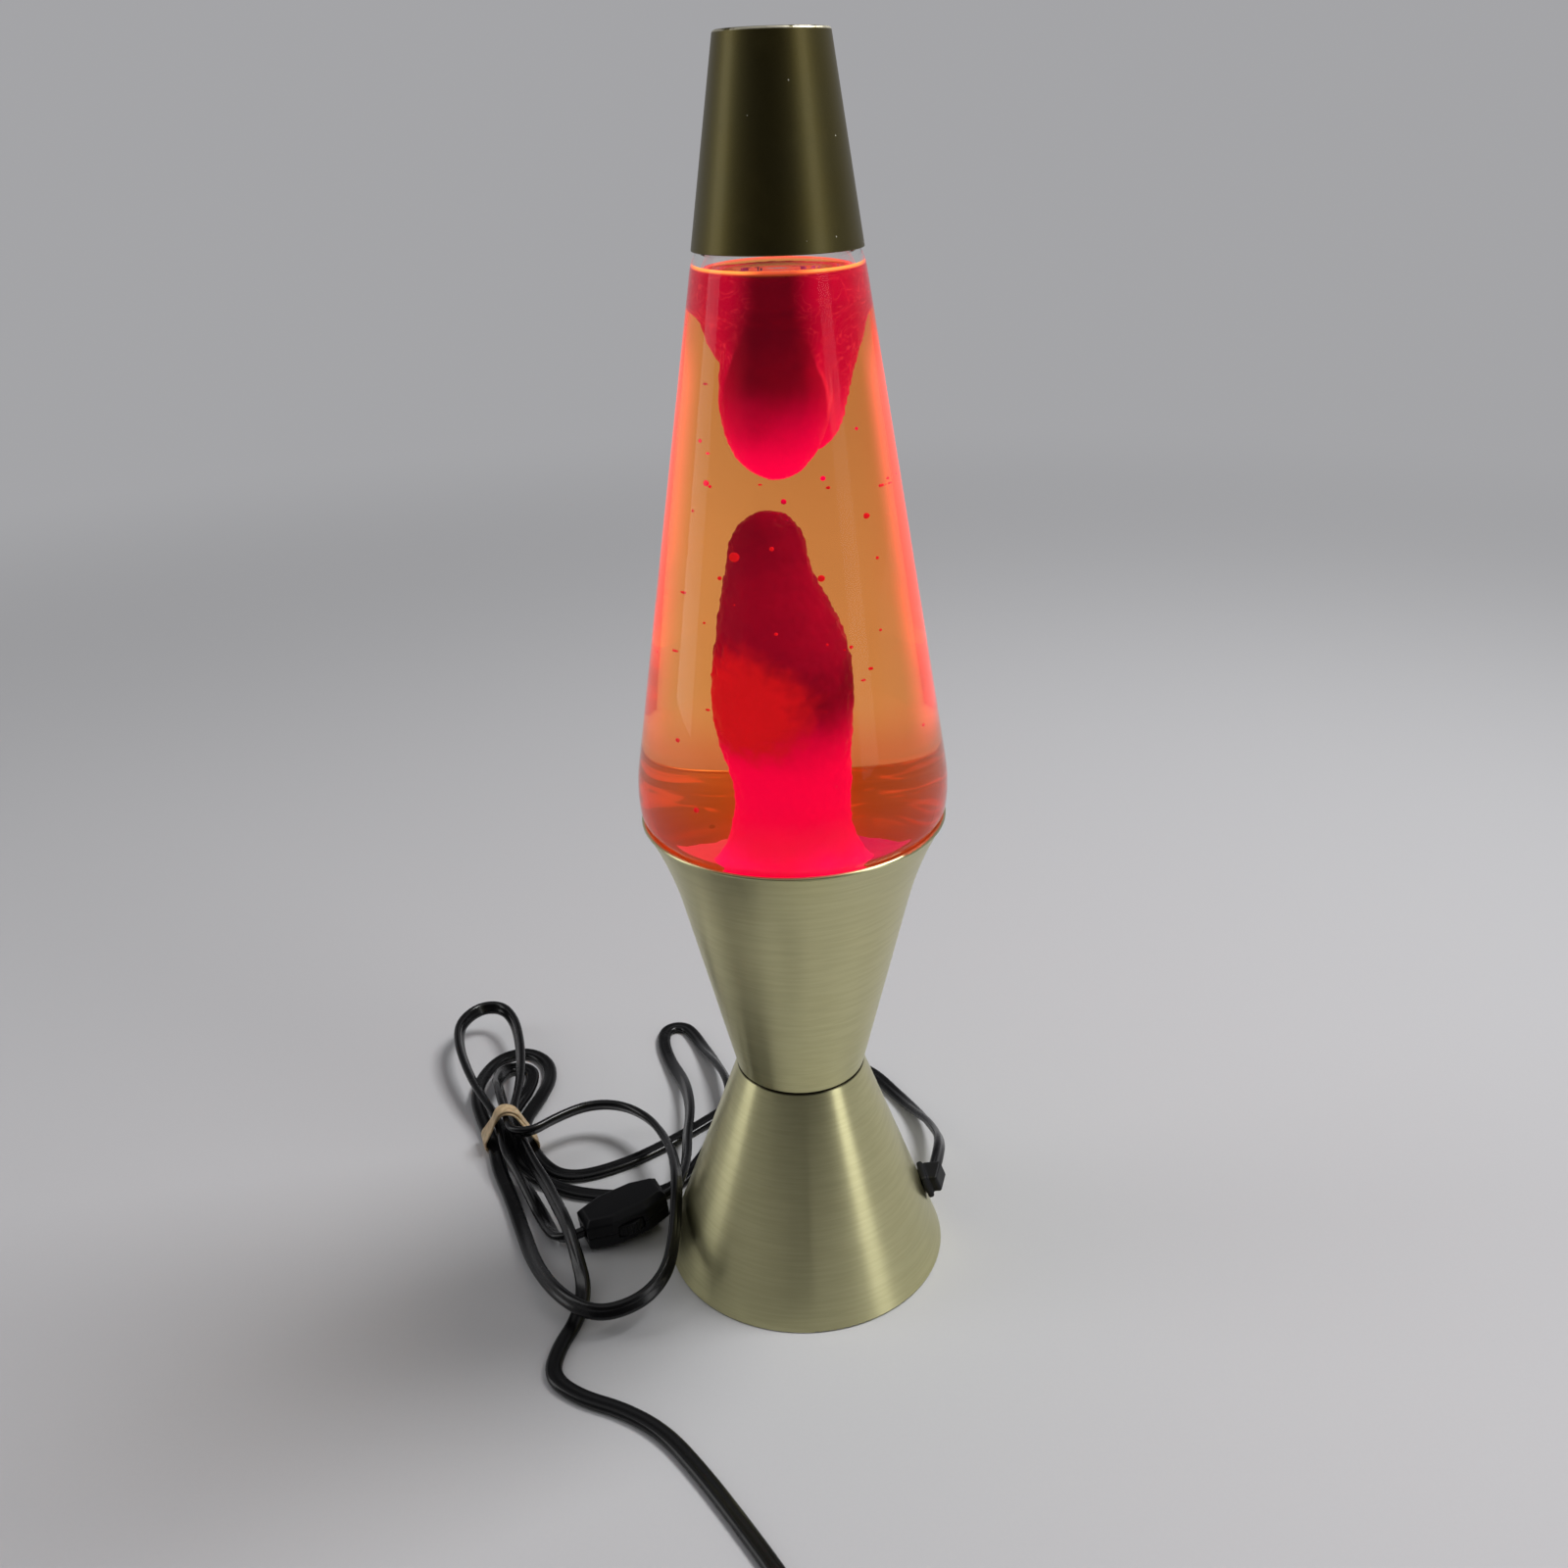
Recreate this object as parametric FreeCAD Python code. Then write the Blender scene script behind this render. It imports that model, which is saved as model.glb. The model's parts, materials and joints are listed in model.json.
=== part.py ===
import FreeCAD, Part
import math
import os

# A liquid motion lamp: a spun metal base of two cones, a sealed bottle with liquid and wax
# that stands in the base, a small bulb below it, a loose metal cap on top, and a flat twin
# cord with a thumb-wheel switch and a two-blade plug.
# Millimetres, +Z up, origin at the centre of the foot, on the table.

V = FreeCAD.Vector
UP = V(0, 0, 1)
os.makedirs("parts", exist_ok=True)

# Clearances
seat_gap = 0.3            # between a piece that lifts off and what carries it
fill_gap = 0.12           # between the liquid, the wax and the glass
wire_gap = 0.3            # between a soft piece and what it goes round
press_play = 0.05         # between a piece and the one that it is pressed, screwed or potted in
least_rounding = 0.2      # of an inner corner, where the wall eats up the outer one

# Spun metal base
sheet = 0.8               # wall of both cones and of the cap
foot_radius = 46.4
foot_lip = 2.6            # width of the lip turned inwards at the foot
foot_rounding = 0.5
foot_lip_rounding = 0.25
waist_height = 72.7
waist_radius = 20.26
waist_rounding = 1.0
fold_rounding = 0.4       # inside a folded corner of the sheet
rim_height = 161.1
rim_radius = 44.8
rim_flare = 3.766         # how much wider the flare makes the rim than the straight cup would be
rim_flare_height = 26.8
rim_bead_radius = 0.62
cover_thickness = 1.8
cover_play = 0.15
vent_radius = 2.6
vent_ring_radius = 29.0
vent_count = 8

# Lamp holder: a threaded sleeve that two ring nuts clamp through both cones, on a round base
holder_radius = 15.0
holder_bore = 9.3
holder_depth = 21.5       # below the top wall of the lower cone
holder_top_reach = 5.5    # above the cup's floor
holder_base_height = 4.0
upper_nut_radius = 17.8
upper_nut_height = 4.0
lower_nut_radius = 18.8
lower_nut_height = 2.5
lower_nut_shoulder = 1.6  # how far it reaches under the lower cone's top wall
nut_notches = 8
nut_notch_radius = 1.6
nut_notch_centre = 0.6    # beyond the nut's edge
hole_play = 0.35          # of the holder in the hole of the cup's floor
shell_wall = 0.3
shell_lift = 1.2          # of the screw shell above the holder's base
shell_above_thread = 7.0
thread_pitch = 2.822      # of the intermediate screw base
thread_depth = 0.45
thread_turns = 5
thread_start = 2.0        # plain end below the first ring of the thread
contact_width = 5.0
contact_sheet = 0.5
contact_foot = (-6.0, -1.5)
contact_tongue = (1.0, 3.0)
terminal_spacing = 16.0
terminal_head_radius = 3.0
terminal_head_height = 1.8
terminal_shank_radius = 1.7
terminal_shank_length = 3.2
terminal_slot_width = 0.8
terminal_slot_depth = 0.7

# Lead wires inside the base: the bends between the bushing and each terminal
lead_radius = 1.3
lead_way_in = 6.0
lead_bends_live = ((23.0, 5.0, 12.0), (15.0, 5.0, 17.0), (9.0, 3.5, 27.0))
lead_bends_neutral = ((21.0, -1.0, 12.0), (9.0, -5.0, 17.0), (-7.0, -3.5, 27.0))
lead_last_rise = 8.0

# Bulb
bulb_height = 58.7
bulb_radius = 17.4
bulb_neck_radius = 7.3
bulb_wall = 0.6
bulb_thread_radius = 8.25
bulb_base_height = 21.5
bulb_neck_sunk = 2.0      # how far the glass goes down into its base
bulb_neck_height = 4.5    # of the straight neck above the base
bulb_neck_rounding = 6.0
bulb_flare_height = 14.5  # of the neck and the flare together
bulb_flare_rounding = 14.0
bulb_crown_flat = 0.7     # radius of the flat middle of the bulb's crown
bulb_contact_gap = 3.0    # between the holder's base and the bulb's tip, filled by the contact
collar_height = 0.6       # of the flange inside the base that the glass is cemented to
collar_drop = 2.6         # of that flange below the base's edge
collar_width = 1.2
tip_radius = 2.2
tip_height = 0.8
tip_bevel = 0.6
insulator_height = 2.6
insulator_rim = 1.2       # height of its straight edge
stem_radius = 2.3
stem_height = 16.0
stem_foot_height = 3.5
filament_half_span = 6.0
filament_rise = 6.0
filament_bow = (2.2, 0.8)
filament_radius = 0.35
support_radius = 0.4
support_spacing = 2.4

# Bottle
glass_wall = 2.6
bulge_beyond_rim = 0.88   # how much wider than the rim the bottle would be at its widest corner
bulge_above_rim = 11.88   # height of that corner above the rim
bulge_rounding = 47.2
knuckle_slope = 0.061
knuckle_above_rim = 3.4
knuckle_rounding = 8.0
bottom_within_rim = 14.3  # how much narrower than the rim the bottle's bottom is
bottom_below_rim = 25.1
bottom_rounding = 4.0
floor_rounding = 3.0      # inside the glass
punt_within_bottom = 10.5
punt_depth = 2.0
punt_side = 3.5           # width of the slope round the punt
shoulder_radius = 22.46
shoulder_below_cap = 3.7  # of the bottle's shoulder below the cap's edge
shoulder_rounding = 10.0
neck_radius = 12.2
neck_above_shoulder = 25.0
neck_rounding = 4.0
finish_radius = 13.2
finish_height = 4.5
finish_rounding = 0.6
mouth_radius = 9.8
mouth_rounding = 1.2
bottle_top_below_cap_top = 16.3
liquid_below_shoulder = 1.6

# Crown closure
crown_thickness = 0.5
crown_skirt = 5.0
crown_flare = 0.9
crown_straight = 2.2      # height of the crown's straight edge above the flare
crown_rounding = 1.2
crown_teeth = 21
crown_tooth_radius = 0.95
crown_tooth_centre = 0.35  # beyond the flare
crown_play = 0.15         # round the bottle's finish
liner_thickness = 0.6

# Cap
lamp_height = 368.3
cap_height = 49.6
cap_top_radius = 14.32
cap_edge_rounding = 0.9

# Heating coil that lies in the wax on the bottom of the bottle
coil_ring_radius = 19.0
coil_radius = 2.4

# Wax: each level's height as a share of the way from the column's foot to the surface, its
# radius, and its centre; below its foot the column spreads into the pool
wax_over_coil = 0.8       # depth of the pool above the heating coil
pool_sunk = 4.0           # how far the column goes down into the pool
column_foot_height = 15.0  # above the bottle's bottom
column_root_radius = 23.5
wax_column = (
    (-0.026, 20.6, -0.3, -0.8),
    (-0.004, 17.0, -0.3, -0.8),
    (0.018, 14.9, -0.3, -0.8),
    (0.042, 13.3, -0.3, -0.8),
    (0.074, 12.4, -0.2, -1.0),
    (0.116, 12.2, 0.0, -1.2),
    (0.195, 13.4, -0.9, -1.5),
    (0.256, 14.5, -1.5, -1.5),
    (0.312, 14.8, -1.5, -1.5),
    (0.373, 14.1, -1.5, -1.5),
    (0.436, 12.4, -1.9, -1.5),
    (0.483, 10.5, -2.9, -1.5),
    (0.516, 9.1, -3.5, -1.5),
    (0.565, 7.9, -3.6, -1.5),
    (0.597, 6.2, -3.5, -1.5),
    (0.616, 3.9, -3.2, -1.5),
    (0.624, 1.8, -3.0, -1.5),
)
wax_drop = (
    (0.6835, 1.5, -1.6, -7.0),
    (0.6935, 4.4, -1.6, -7.0),
    (0.7140, 7.6, -1.7, -7.0),
    (0.7500, 10.2, -1.6, -7.0),
    (0.7870, 11.5, -1.4, -6.9),
    (0.8230, 11.8, -1.3, -6.7),
    (0.8600, 11.4, -1.2, -6.5),
    (0.8950, 10.6, -1.1, -6.0),
    (0.9260, 9.4, -1.1, -5.5),
    (0.9580, 7.6, -1.2, -5.0),
)
wax_funnel = (
    (0.7170, 1.4, 5.4, 2.4),
    (0.7260, 3.6, 5.1, 2.5),
    (0.7400, 5.6, 4.6, 2.6),
    (0.7640, 7.6, 3.9, 2.7),
    (0.8030, 9.6, 3.1, 2.7),
    (0.8370, 11.4, 2.1, 2.4),
    (0.8680, 13.5, 1.2, 1.9),
    (0.9000, 15.0, 0.9, 1.2),
    (0.9250, 16.4, 0.7, 0.7),
)
wax_band = 0.9545         # from this share of the height up, the upper wax fills the bottle
band_lap = 0.6            # how far the funnel goes up into that band
band_step = 0.5           # how much narrower than the band the funnel is there

# Flat twin cord: its wider side is the diameter of the tube that stands for it
cord_width = 5.3
table_gap = 0.15          # between the lowest cord and the table
bushing_way_out = 8.0     # how far the cord runs straight out of the bushing
switch_way_out = 5.0      # and out of either end of the switch

# Cord bushing in the wall of the lower cone
bushing_z = 16.5
bushing_turn = 7.0        # degrees from +X towards +Y
bushing_flange = 9.4
bushing_flange_thickness = 2.4
bushing_neck_radius = 4.0
bushing_lock_radius = 4.7
bushing_inside = 3.6
bushing_nub = 6.6
bushing_nub_centre = 3.9  # from the wall
bushing_nub_half = 4.0
bushing_nub_turn = 65.0   # degrees between the wall's normal and the cord's way out
bushing_hole_play = 0.1
bushing_step = 0.3        # of the flange off the wall
bushing_bevel = 0.5
bushing_lock_gap = 0.6    # between the lock and the inside of the wall
bushing_nub_rounding = 0.7

# Rubber band round the folded cord
band_centre = (-109.0, 48.5)
band_heading = 109.3      # degrees from +X, the way the folded strands run
band_pitch = 5.8          # from strand to strand
band_low_z = 4.0
band_thickness = 0.95
band_width = 7.0

# Thumb-wheel cord switch
switch_centre = (-62.2, 2.0, 8.3)
switch_turn = 26.9        # degrees about +Z
switch_rise = 5.6         # degrees, its right end up
switch_length = 29.3
switch_width = 15.6
switch_end_width = 9.9
switch_taper = 8.4
switch_thickness = 13.2
switch_chamfer = 2.1
switch_inner_chamfer = 0.8
switch_wall = 1.6
switch_gate_width = 5.6   # of the opening at either end for the cord's two conductors
switch_gate_height = 2.9
wheel_radius = 7.0
wheel_thickness = 4.4
wheel_bevel = 0.5
wheel_offset = 2.0        # of its axis towards the side where it shows
wheel_grooves = 24
wheel_groove_radius = 0.5
wheel_groove_centre = 0.15  # beyond the wheel's edge
wheel_gap = 0.3
post_radius = 1.9
post_play = 0.08
post_foot = 1.1           # how much wider the post is below the wheel
post_reach = 0.2          # of the post above the wheel's room
boss_gap = 0.3            # between the wheel's room and the upper shell's boss
bridge_length = 11.6
bridge_width = 2.4
bridge_thickness = 0.6
bridge_ring = 1.7         # how much wider than the post the bridge's ring is
bridge_hole = 0.5
switch_screw_radius = 1.2
switch_screw_head_radius = 2.3
switch_screw_head = 1.4
switch_screw_sunk = 0.1
switch_screw_slot = 0.6
contact_thickness = 0.5
contact_blade = 3.0       # width of the switch's contacts
contact_foot_length = 2.2
contact_reach = 4.2
through_wire_radius = 1.15
through_wire_bends = ((3.5, 1.45), (7.5, 3.6))  # from the switch's end, and off its middle

# Plug
plug_length = 24.0
plug_width = 20.6
plug_thickness = 12.0
plug_relief = 9.0
plug_relief_radius = 3.6
plug_relief_growth = 1.2
plug_relief_sunk = 2.0
plug_shoulder = 6.6       # half the grip's width where the relief enters it
plug_shoulder_length = 8.0
plug_shoulder_rounding = 3.0
plug_side_rounding = 5.0
plug_face_rounding = 1.2
plug_edge_rounding = 1.6
blade_play = 0.03
blade_hole_radius = 1.6
blade_hole_from_end = 3.6
blade_spacing = 12.7
blade_width = 6.35
blade_wide = 7.9
blade_thickness = 1.5
blade_length = 16.5
blade_sunk = 6.0

# Spare cord, wound on the table in front of the lamp
spare_start = (2.2, -150.9)
spare_radius = 28.0
spare_lead = 14.6         # from there to the ring's first corner
spare_sweep = 390.0       # degrees wound, clockwise from above
spare_step = 30.0
spare_climb_start = 210.0
spare_climb_end = 300.0
spare_lift = 5.85
spare_unevenness = 0.4
plug_beyond = 34.0        # from the ring's centre to the back of the plug
plug_aside = 0.4          # of the plug beyond the ring's radius
last_bends = ((0.4, 20.0, None), (0.1, 11.5, 1.0), (0.0, 6.0, 0.0))  # of the cord, from the plug

# Route of the cord from the bushing to the right end of the switch
route_lamp_to_switch = (
    (48.4, 25.0, 17.6), (48.6, 35.5, 12.4), (46.8, 49.0, 7.2), (42.5, 62.0, 3.8),
    (36.0, 75.0, 2.8), (28.5, 88.5, 2.8), (16.5, 97.5, 2.8), (1.5, 98.0, 2.8), (-12.0, 88.0, 2.8),
    (-23.0, 74.0, 2.8), (-35.0, 61.0, 2.8), (-50.5, 47.0, 2.8), (-65.0, 36.5, 2.8), (-79.5, 30.3, 2.8),
    (-88.5, 31.0, 2.9), (-94.5, 36.0, 3.2), (-98.6, 41.5, 3.8), (-103.5, 50.6, 4.0), (-106.2, 61.5, 3.8),
    (-101.8, 76.0, 3.6), (-99.6, 90.0, 3.0), (-103.0, 102.3, 2.8), (-112.5, 109.0, 2.8),
    (-122.5, 104.5, 3.0), (-127.5, 91.5, 3.3), (-127.5, 77.0, 3.8), (-120.8, 60.0, 3.8),
    (-114.6, 46.8, 4.0), (-111.4, 34.5, 3.7), (-104.5, 20.0, 3.0), (-98.0, 3.0, 3.2),
    (-89.8, -18.5, 5.2), (-79.0, -36.5, 8.8), (-66.3, -46.3, 9.8), (-52.8, -41.8, 10.4),
    (-45.0, -32.5, 12.8), (-42.8, -20.0, 16.5), (-42.9, -8.0, 19.5), (-43.4, 5.0, 19.8),
    (-45.0, 17.5, 18.3), (-48.6, 31.0, 16.0), (-56.0, 46.0, 14.6), (-67.5, 55.5, 13.9),
    (-80.0, 55.8, 14.0), (-91.0, 47.5, 14.8), (-99.0, 38.6, 15.4), (-106.2, 40.5, 14.6),
    (-109.0, 48.5, 14.05), (-113.0, 59.5, 14.2), (-115.8, 69.0, 12.9), (-118.6, 78.0, 9.0),
    (-119.4, 86.0, 5.8), (-119.2, 93.5, 4.2), (-115.7, 97.2, 3.3), (-110.7, 97.2, 3.0),
    (-107.2, 93.4, 2.9), (-107.4, 83.0, 2.9), (-110.3, 71.0, 3.4), (-113.2, 59.8, 3.7),
    (-109.0, 48.5, 4.0), (-104.5, 37.0, 3.6), (-99.0, 31.0, 3.2), (-92.0, 26.5, 2.9),
    (-83.4, 21.8, 2.8), (-71.0, 19.0, 2.8), (-57.0, 18.8, 2.8), (-47.0, 22.0, 2.8),
    (-40.9, 31.0, 2.8), (-35.0, 42.0, 3.2), (-29.5, 53.5, 6.4), (-27.0, 65.0, 8.9),
    (-28.8, 77.0, 8.8), (-33.5, 92.0, 5.6), (-39.5, 107.0, 3.2), (-44.7, 119.2, 2.8),
    (-48.2, 123.6, 2.8), (-53.0, 123.9, 2.8), (-56.5, 120.0, 2.8), (-56.3, 111.0, 2.8),
    (-52.5, 98.0, 3.0), (-47.6, 85.0, 4.6), (-43.8, 70.5, 7.6), (-42.0, 56.5, 8.9),
    (-42.6, 42.5, 8.8), (-42.0, 32.0, 9.0), (-42.4, 23.0, 9.5), (-43.6, 15.8, 10.0),
)

# Route of the cord from the left end of the switch to the spare coil
route_switch_to_coil = (
    (-84.9, -5.2, 5.2), (-88.6, 2.5, 3.6), (-93.0, 11.5, 3.2), (-98.5, 20.5, 5.0),
    (-103.8, 28.3, 7.5), (-108.3, 36.0, 8.8), (-111.7, 47.7, 9.05), (-116.4, 59.0, 8.9),
    (-124.5, 71.5, 9.8), (-131.5, 85.0, 11.0), (-137.5, 100.0, 12.0), (-140.0, 115.0, 12.0),
    (-134.0, 126.5, 12.0), (-124.5, 127.0, 12.0), (-117.5, 116.5, 11.8), (-113.0, 101.0, 11.0),
    (-110.5, 86.5, 10.2), (-109.4, 73.5, 9.4), (-109.8, 60.8, 8.9), (-106.3, 49.7, 9.05),
    (-101.8, 38.2, 9.1), (-97.4, 28.5, 9.4), (-91.0, 17.5, 9.6), (-85.2, 4.5, 10.8),
    (-80.3, -7.0, 13.0), (-76.0, -17.5, 9.0), (-72.4, -27.5, 4.0), (-73.5, -39.5, 2.8),
    (-78.0, -51.0, 2.8), (-79.0, -62.5, 2.8), (-69.5, -70.5, 2.8), (-55.0, -76.0, 2.8),
    (-42.5, -84.5, 2.8), (-31.0, -99.0, 2.8), (-20.0, -115.0, 2.8), (-8.4, -132.8, 2.8),
)

# Sizes that follow from the ones above
foot_slope = (foot_radius - waist_radius) / waist_height
foot_angle = math.atan(foot_slope)
sheet_across = sheet * math.hypot(1, foot_slope)
cup_slope = (rim_radius - rim_flare - waist_radius) / (rim_height - waist_height)
cup_flare_start = rim_height - rim_flare_height
cup_floor_top = waist_height + sheet
cone_top_inside = waist_height - sheet
holder_top = cup_floor_top + holder_top_reach
holder_bottom = cone_top_inside - holder_depth
holder_bore_floor = holder_bottom + holder_base_height
holder_hole = holder_radius + hole_play
cone_hole = lower_nut_radius - lower_nut_shoulder
bulb_tip_z = holder_bore_floor + bulb_contact_gap
bulb_base_top = bulb_tip_z + bulb_base_height
bulb_neck_low = bulb_base_top - bulb_neck_sunk
bulb_base_inside = bulb_thread_radius - thread_depth - shell_wall
bulb_top = bulb_tip_z + bulb_height
filament_z = bulb_neck_low + stem_height + filament_rise
cap_bottom_z = lamp_height - cap_height
shoulder_z = cap_bottom_z - shoulder_below_cap
neck_foot_z = shoulder_z + neck_above_shoulder
bottle_top_z = lamp_height - bottle_top_below_cap_top
liquid_level = shoulder_z - liquid_below_shoulder
bulge_radius = rim_radius + bulge_beyond_rim
bulge_z = rim_height + bulge_above_rim
bottle_bottom_radius = rim_radius - bottom_within_rim
bottle_bottom_z = rim_height - bottom_below_rim
punt_radius = bottle_bottom_radius - punt_within_bottom
bottle_floor_z = bottle_bottom_z + punt_depth + glass_wall
coil_z = bottle_floor_z + 2 * fill_gap + coil_radius
pool_top_z = coil_z + coil_radius + wax_over_coil
column_foot_z = bottle_bottom_z + column_foot_height
cord_radius = cord_width / 2


def lower_cone_radius(z):
    return foot_radius - foot_slope * z


def bottle_radius(z):
    slope = (bulge_radius - shoulder_radius) / (shoulder_z - bulge_z)
    return bulge_radius - slope * (z - bulge_z)


def wax_height(share):
    """Height of a wax level, from its share of the way up from the column's foot."""
    return column_foot_z + share * (liquid_level - column_foot_z)


def save(shape, name):
    """Write one sub-part and print its size."""
    solids = len(shape.Solids)
    print(f"{name}: {solids} solid(s), {shape.Volume:.1f} mm3, valid {shape.isValid()}")
    shape.exportStep(f"parts/{name}.step")


def rounded_edges(corners, closed):
    """Edges through (radius, height, rounding) corners in the XZ plane, each corner an arc."""
    count = len(corners)
    points = [V(c[0], 0, c[1]) for c in corners]
    starts, ends, middles = list(points), list(points), [None] * count
    for i in range(count):
        rounding = corners[i][2]
        if rounding <= 0 or (not closed and i in (0, count - 1)):
            continue
        before = points[i - 1] - points[i]
        after = points[(i + 1) % count] - points[i]
        half = before.getAngle(after) / 2
        before.normalize()
        after.normalize()
        reach = rounding / math.tan(half)
        bisector = before + after
        bisector.normalize()
        starts[i] = points[i] + before * reach
        ends[i] = points[i] + after * reach
        middles[i] = points[i] + bisector * (rounding / math.sin(half) - rounding)
    edges = []
    for i in range(count):
        if middles[i] is not None:
            edges.append(Part.Arc(starts[i], middles[i], ends[i]).toShape())
        if i < count - 1 or closed:
            follow = starts[(i + 1) % count]
            if ends[i].distanceToPoint(follow) > 1e-6:
                edges.append(Part.LineSegment(ends[i], follow).toShape())
    return edges


def revolved(corners):
    """A turned solid from a closed outline of (radius, height, rounding) corners."""
    face = Part.Face(Part.Wire(rounded_edges(corners, True)))
    return face.revolve(V(0, 0, 0), UP, 360)


def inset(corners, distance):
    """The same open outline moved to its right-hand side by a distance, roundings with it."""
    moved = []
    count = len(corners)
    for i, corner in enumerate(corners):
        here = V(corner[0], corner[1], 0)
        sides = []
        for a, b in ((i - 1, i), (i, i + 1)):
            if a >= 0 and b < count:
                step = V(corners[b][0] - corners[a][0], corners[b][1] - corners[a][1], 0)
                step.normalize()
                sides.append(V(step.y, -step.x, 0))
        if len(sides) == 1:
            shift = sides[0] * distance
        else:
            middle = sides[0] + sides[1]
            middle.normalize()
            shift = middle * (distance / middle.dot(sides[0]))
        rounding = corner[2]
        if rounding > 0 and len(sides) == 2:
            turn = sides[0].x * sides[1].y - sides[0].y * sides[1].x
            rounding = rounding + distance if turn > 0 else rounding - distance
        if corner[2] > 0:
            rounding = max(rounding, least_rounding)
        moved.append((here.x + shift.x, here.y + shift.y, rounding))
    return moved


def cylinder(radius, low, high, x=0.0, y=0.0):
    return Part.makeCylinder(radius, high - low, V(x, y, low), UP)


def placed(shape, origin, along, across, up):
    """A shape built at the origin, set down with its X, Y and Z along three unit vectors."""
    matrix = FreeCAD.Matrix(
        along.x, across.x, up.x, origin.x,
        along.y, across.y, up.y, origin.y,
        along.z, across.z, up.z, origin.z,
        0, 0, 0, 1)
    moved = shape.copy()
    moved.Placement = FreeCAD.Placement(matrix)
    return moved


def level_circle(x, y, z, radius):
    """A level circle made of three arcs."""
    def on(share):
        turn = 2 * math.pi * share
        return V(x + radius * math.cos(turn), y + radius * math.sin(turn), z)
    thirds = [i / 3 for i in range(3)]
    return Part.Wire([Part.Arc(on(a), on(a + 1 / 6), on(a + 1 / 3)).toShape() for a in thirds])


def lofted_wax(levels, grow):
    """A soft body through its levels, given as (height, radius, x, y), wider and longer by grow."""
    circles = []
    for i, (z, radius, x, y) in enumerate(levels):
        longer = -grow if i == 0 else grow if i == len(levels) - 1 else 0
        circles.append(level_circle(x, y, z + longer, radius + grow))
    return Part.makeLoft(circles, True, False)


def cord_path(points):
    """Straight runs joined by tangent arcs, each as large as its two runs allow."""
    points = [V(*p) for p in points]
    edges, radii = [], []
    here = points[0]
    for before, corner, after in zip(points, points[1:], points[2:]):
        back = before - corner
        ahead = after - corner
        reach = 0.45 * min(back.Length, ahead.Length)
        half = back.getAngle(ahead) / 2
        back.normalize()
        ahead.normalize()
        bisector = back + ahead
        bisector.normalize()
        radius = reach * math.tan(half)
        radii.append(radius)
        start = corner + back * reach
        end = corner + ahead * reach
        middle = corner + bisector * (radius / math.sin(half) - radius)
        edges.append(Part.LineSegment(here, start).toShape())
        edges.append(Part.Arc(start, middle, end).toShape())
        here = end
    edges.append(Part.LineSegment(here, points[-1]).toShape())
    return Part.Wire(edges), radii


def tube(points, radius, name):
    """A round tube along a cord's path; prints its length, radii and volume."""
    path, radii = cord_path(points)
    first = V(*points[1]) - V(*points[0])
    ring = Part.Wire(Part.makeCircle(radius, V(*points[0]), first))
    solid = path.makePipeShell([ring], True, False)
    expected = math.pi * radius ** 2 * path.Length
    print(f"{name}: length {path.Length:.1f}, volume over section x length {solid.Volume / expected:.4f}")
    print("   radii " + " ".join(f"{r:.0f}" for r in radii))
    return solid, path


def least_gap(paths, diameter, skip):
    """Least distance between strands, measured on points along the paths."""
    step = 1.5
    samples = []
    offset = 0.0
    for path in paths:
        count = int(path.Length / step)
        for point in path.discretize(Number=count):
            samples.append((offset, point))
            offset += path.Length / count
        offset += skip * 2
    cells = {}
    for index, (_, point) in enumerate(samples):
        key = (int(point.x // 8), int(point.y // 8), int(point.z // 8))
        cells.setdefault(key, []).append(index)
    least = 1e9
    for (i, j, k), members in cells.items():
        near = []
        for di in (-1, 0, 1):
            for dj in (-1, 0, 1):
                for dk in (-1, 0, 1):
                    near += cells.get((i + di, j + dj, k + dk), [])
        for a in members:
            for b in near:
                if b > a and abs(samples[a][0] - samples[b][0]) > skip:
                    least = min(least, samples[a][1].distanceToPoint(samples[b][1]))
    return least - diameter


# Base


def lower_cone():
    """The foot: a spun cone with a lip turned in below and a holed wall on top."""
    shell = revolved([
        (foot_radius, 0, foot_rounding),
        (waist_radius, waist_height, waist_rounding),
        (cone_hole, waist_height, 0),
        (cone_hole, cone_top_inside, 0),
        (waist_radius - sheet_across + foot_slope * sheet, cone_top_inside, fold_rounding),
        (foot_radius - sheet_across - foot_slope * sheet, sheet, foot_lip_rounding),
        (foot_radius - foot_lip, sheet, foot_lip_rounding),
        (foot_radius - foot_lip, 0, foot_lip_rounding),
    ])
    reach = 5 * sheet
    hole = Part.makeCylinder(
        bushing_neck_radius + bushing_hole_play, 2 * reach, wall_point - wall_normal * reach, wall_normal)
    return shell.cut(hole)


def cup_outline(offset):
    """Side of the cup from its floor up to the rim: a straight cone, then a flare."""
    start = V(waist_radius + cup_slope * (cup_flare_start - waist_height), 0, cup_flare_start)
    end = V(rim_radius, 0, rim_height)
    tangent = V(cup_slope, 0, 1)
    tangent.normalize()
    outward = V(tangent.z, 0, -tangent.x)
    chord = end - start
    radius = chord.dot(chord) / (2 * chord.dot(outward))
    centre = start + outward * radius
    spread = radius + offset

    def on(point):
        ray = point - centre
        ray.normalize()
        return centre + ray * spread

    middle = start + chord * 0.5
    return on(start), on(middle), on(end)


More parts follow.
